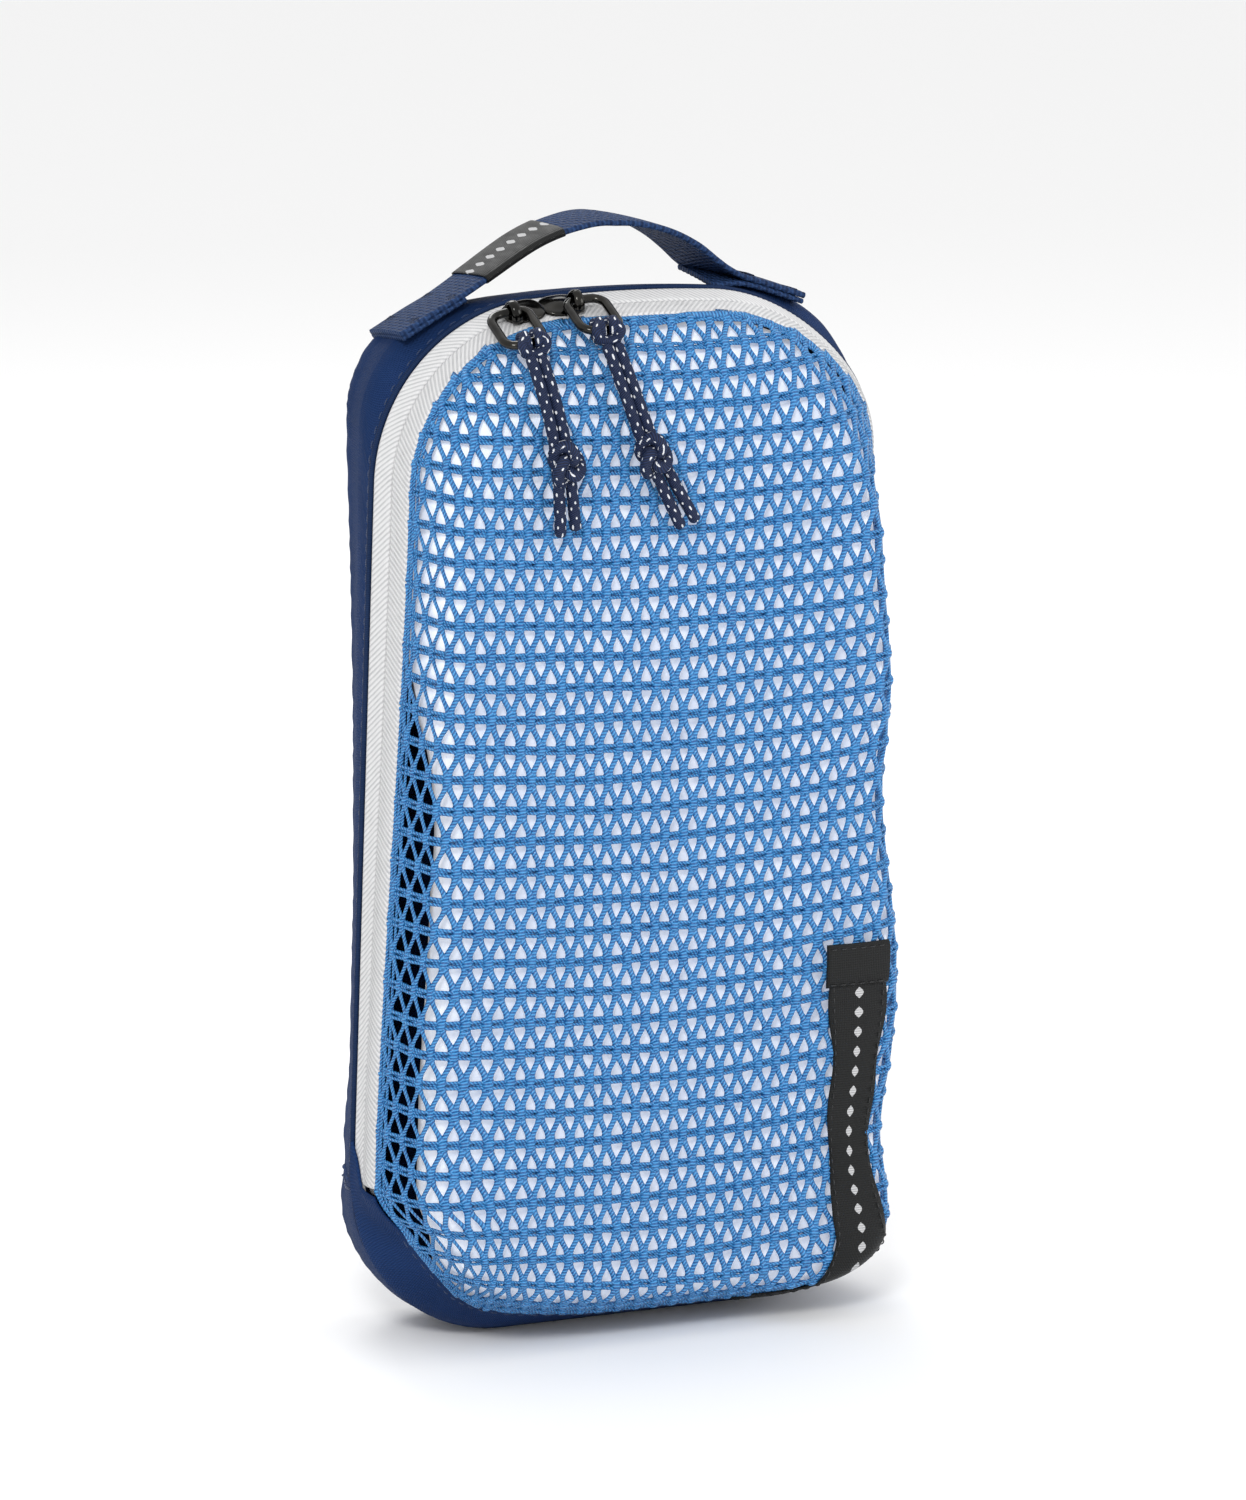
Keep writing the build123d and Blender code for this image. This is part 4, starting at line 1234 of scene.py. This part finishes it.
def add_filler():
    """The soft sheet behind the mesh, rounded back at its edges and creased where it has been folded."""
    point, normal = outline(FRONT, at_length(np.linspace(0, HALF_LENGTH, 1400)))
    edge = point - normal * FILLER_INSET
    low, high = edge[:, 1].min(), edge[:, 1].max() - 0.3
    f = np.linspace(0, 1, 190)
    z = low + (high - low) * f
    half = half_width(edge, z)
    q = np.sin(np.linspace(-np.pi / 2, np.pi / 2, 110))
    drawn_in = 6.2 * smooth_step(z, 12.0, 40.0) * (1 - smooth_step(z, 118.0, 165.0))
    x = half[:, None] * q[None] + drawn_in[:, None] * np.clip(-q, 0, 1)[None] ** 2
    z = np.broadcast_to(z[:, None], x.shape)
    ripple = sum(np.sin(a * x * 1.3 + b * z * 1.5 + c) for a, b, c in WAVES)
    creases = sum(depth * bell(z - h, 2.0 * np.sin(x / 23 + h), 1.6) for h, depth in FILLER_CREASES)
    inside = np.minimum(half[:, None] * (1 - np.abs(q))[None], high - z + 1.0)
    near_rim = 1 - np.clip(inside / FILLER_ROLL, 0, 1)
    rolled = FILLER_ROLL * (1 - np.sqrt(np.clip(1 - near_rim**2, 0, 1)))
    y = np.maximum(mesh_front_y(x, z), -25.5) + 1.35 + 0.12 * (ripple + 9) / 2 + creases + rolled
    outer = np.stack([x, y, z], -1)
    inner = outer + np.array([0.0, FILLER_THICKNESS, 0.0])
    pad = sheet(outer, inner, outer[..., [0, 2]])
    piece = add_piece("filler_pad", pad, "filler_white", "fold", "filler_sheet", "filler_sheet_lower")
    # painted shade: faces that look backwards take the darker copy without glow, the rest keep the painted
    # glow
    piece.data.materials.append(MATERIALS["filler_back_painted_shade"])
    for face in piece.data.polygons:
        face.material_index = int(face.normal.y > 0)


# ---------------------------------------------------------------- label


LABEL_HALF, LABEL_TOP, LABEL_U, LABEL_ROOM = 6.6, 80.5, 42.6, 6.9
TAB_HALF, TAB_U, TAB_BOTTOM, TAB_TOP = 7.0, 44.9, 78.5, 88.5
# by height, how far the label has been drawn sideways
LABEL_DRIFT = ((0, 10, 19, 28, 38, 47, 56, 65, 80), (-1.5, 0.3, 3.2, 3.8, 3.6, 2.9, 2.5, 1.7, 0.4))


def label_stitches(name, rows, body):
    """Rows of black stitches as one piece."""
    add_piece(name, joined(*rows), "label_black", body, look="black_thread", tidy=False)


def add_label(front):
    """Woven label strip down the mesh and round its lower edge."""
    v = np.linspace(1.0, front.reach(LABEL_TOP), 110)
    width = np.linspace(-LABEL_HALF, LABEL_HALF, 15)
    share = width / LABEL_HALF
    wave = 0.45 * np.sin(v / 4.6) + 0.3 * np.sin(v / 2.9 + 1)
    height = front.height(v)
    drift = np.interp(height, *LABEL_DRIFT)
    centre = LABEL_U + 2.4 * smooth_step(v, 0, 90) + drift
    narrow = 0.87 + 0.13 * smooth_step(height, 58.0, 78.0)
    centre = np.minimum(centre, front.limit(np.ones_like(v), v) - LABEL_ROOM)
    u = centre[:, None] + narrow[:, None] * width[None] + 0.4 * np.sin(v / 3.7)[:, None] * share[None]
    vv = np.broadcast_to(v[:, None], u.shape)
    bow = 0.3 * (1 - share**2)[None] + 0.45 * wave[:, None] * share[None]
    top, _ = front.place(u, vv, 1.15 + bow)
    under, _ = front.place(u, vv, 0.8 + bow)
    uv = np.stack([np.broadcast_to(width[None], u.shape), vv], -1)
    add_piece("label_band", sheet(top, under, uv), "label_black", "fold", "label_strip", "label_strip_lower")
    rows = []
    for edge in (-5.7, 5.7):
        at = centre + edge * narrow
        line, normal = front.place(at, v, 1.25)
        rows.append(stitch_row(line, normal, 1.7, 0.8, 0.16))
    label_stitches("label_stitches", rows, "fold")


def add_tab(front):
    """The folded tab that covers the top of the label."""
    v_top = np.linspace(front.reach(TAB_BOTTOM), front.reach(TAB_TOP), 22)
    u = TAB_U + np.linspace(-TAB_HALF, TAB_HALF, 15)[None] + 0 * v_top[:, None]
    vv = np.broadcast_to(v_top[:, None], u.shape)
    f = np.linspace(0, 1, 22)
    lift = 1.5 + 0.75 * np.sqrt(np.clip(1 - (2 * f - 1) ** 6, 0, 1))[:, None] + 0 * u
    top, _ = front.place(u, vv, lift)
    under, _ = front.place(u, vv, 1.45 + 0 * u)
    tab = sheet(top, under, np.stack([u + 90.0, vv], -1))  # past the lozenges, so the tab stays plain
    add_piece("label_fold", tab, "label_black", "lid", "label_tab")
    rows = []
    for share in (0.08, 0.9):
        at = v_top[0] + share * (v_top[-1] - v_top[0])
        line, normal = front.place(TAB_U + np.linspace(-6.3, 6.3, 30), at, 2.2)
        rows.append(stitch_row(line, normal, 1.5, 0.7, 0.17))
    label_stitches("label_fold_stitches", rows, "lid")


# ---------------------------------------------------------------- handle


# the banking and the points of the folded end under each end of the strap
STRAP_FOLDS = {
    "left": (1.0, ((-50.6, 227.1), (-48.6, 228.2), (-43.0, 231.2), (-35.8, 235.0))),
    "right": (-0.5, ((23.6, 235.9), (27.0, 235.8), (31.5, 235.1), (37.0, 233.4), (46.0, 230.2))),
}
SLEEVE_ENDS = (-30.5, -12.0)
WEBBING_RIBS = 9
TACK_HALF, TACK_TURNS = 8.6, 60
# place along the strap, height and lean of each bartack
BARTACKS = ((-47.0, 230.2, 31), (-38.2, 234.8, 29), (33.4, 235.8, -18), (43.8, 232.2, -20))


def strap_drop(x, y):
    """How far the banked strap drops at a place along it and across it."""
    return np.interp(x, *STRAP_BANKS) * ((y - STRAP_Y) / STRAP_HALF + smooth_step(-x, 8.0, 30.0)) / 2


def strap_line(points, count):
    """A line through points in the strap's plane, and the way up from it."""
    line = curve_through(points, count)
    along = unit(np.gradient(line, axis=0))
    return line, np.stack([-along[:, 1], along[:, 0]], -1)


def strap_grids(line, up, half, thick, rise, bank=1.0):
    """Top and underside of a webbing strip: lengthwise ribs, rounded selvedges and a slight bow."""
    q = np.linspace(-1, 1, 8 * WEBBING_RIBS + 1)
    rib = 0.13 * np.abs(np.sin(np.pi * WEBBING_RIBS * (q + 1) / 2))
    edge = np.clip((1 - np.abs(q)) / 0.06, 0, 1)
    body = thick / 2 * np.sqrt(1 - (1 - edge) ** 2)
    bow = rise * (1 - q**2)
    grids = []
    for sign in (1.0, -1.0):
        off = bow + sign * (body + rib * (edge > 0.5))
        xz = line[:, None] + up[:, None] * off[None, :, None]
        y = np.broadcast_to(STRAP_Y + q * half, xz.shape[:2])
        tilt = -bank * strap_drop(xz[..., 0], y)
        grids.append(np.stack([xz[..., 0], y, xz[..., 1] + tilt], -1))
    uv = np.stack(np.broadcast_arrays(q[None] * half, distances(line)[:, None]), -1)
    return *grids, uv


def bartack(x, z, lean):
    """A dense zigzag of thread across the strap."""
    a = math.radians(lean)
    along, up = np.array([math.cos(a), 0, math.sin(a)]), np.array([-math.sin(a), 0, math.cos(a)])
    ys = np.linspace(-TACK_HALF, TACK_HALF, TACK_TURNS)
    zig = np.where(np.arange(TACK_TURNS) % 2 == 0, -0.9, 0.9)
    line = np.array([x, STRAP_Y, z]) + along * zig[:, None] + np.array([0, 1, 0]) * ys[:, None]
    line[:, 2] -= strap_drop(line[:, 0], line[:, 1])
    return tubes(line, 0.17, 6, up)


def add_sleeve():
    """The woven sleeve sewn round the strap near its left end."""
    line, up = strap_line(STRAP_POINTS, 600)
    chosen = (line[:, 0] > SLEEVE_ENDS[0]) & (line[:, 0] < SLEEVE_ENDS[1])
    line, up = line[chosen][::4], up[chosen][::4]
    q = np.linspace(0, 2 * np.pi, 49)
    wide = np.sign(np.cos(q)) * np.abs(np.cos(q)) ** 0.35
    high = np.sign(np.sin(q)) * np.abs(np.sin(q)) ** 0.6
    grids = []
    for grow in (0.0, -0.3):
        xz = line[:, None] + up[:, None] * (0.45 + (1.25 + grow) * high)[None, :, None]
        y = np.broadcast_to(STRAP_Y + (STRAP_HALF + 0.45 + grow) * wide, xz.shape[:2])
        grids.append(np.stack([xz[..., 0], y, xz[..., 1] - strap_drop(xz[..., 0], y)], -1))
    across = 4.2 * wide + np.where(q > np.pi, 60.0, 0.0)  # the underside lies past the lozenges and is plain
    uv = np.stack(np.broadcast_arrays(across[None], np.linspace(0, 34, len(line))[:, None]), -1)
    add_piece("handle_sleeve", sheet(*grids, uv), "label_black", "shell", "handle_label")


def add_handle():
    """The arched strap, the folded ends under it, its sleeve and the bartacks that hold it."""
    line, up = strap_line(STRAP_POINTS, 170)
    strap = sheet(*strap_grids(line + up * 0.3, up, STRAP_HALF - 0.2, 1.1, 0.35))
    add_piece("handle_strap", strap, "navy_webbing", "shell", "handle_webbing")
    for hand, (bank, points) in STRAP_FOLDS.items():
        line, up = strap_line(points, 60)
        fold = sheet(*strap_grids(line - up * 0.8, up, STRAP_HALF, 0.95, 0.2, bank=bank))
        add_piece("handle_end_" + hand, fold, "navy_webbing", "shell", "handle_fold_" + hand)
    add_sleeve()
    tacks = joined(*[bartack(*tack) for tack in BARTACKS])
    add_piece("handle_tacks", tacks, "navy_thread", "shell", "handle_bartacks", tidy=False)


# ---------------------------------------------------------------- build


add_camera()
MATERIALS = make_materials()
add_cords()
add_studio()
add_metal()
front_map = FrontMap()
add_shell()
add_zipper()
add_mesh_front(front_map)
add_filler()
add_label(front_map)
add_tab(front_map)
add_handle()
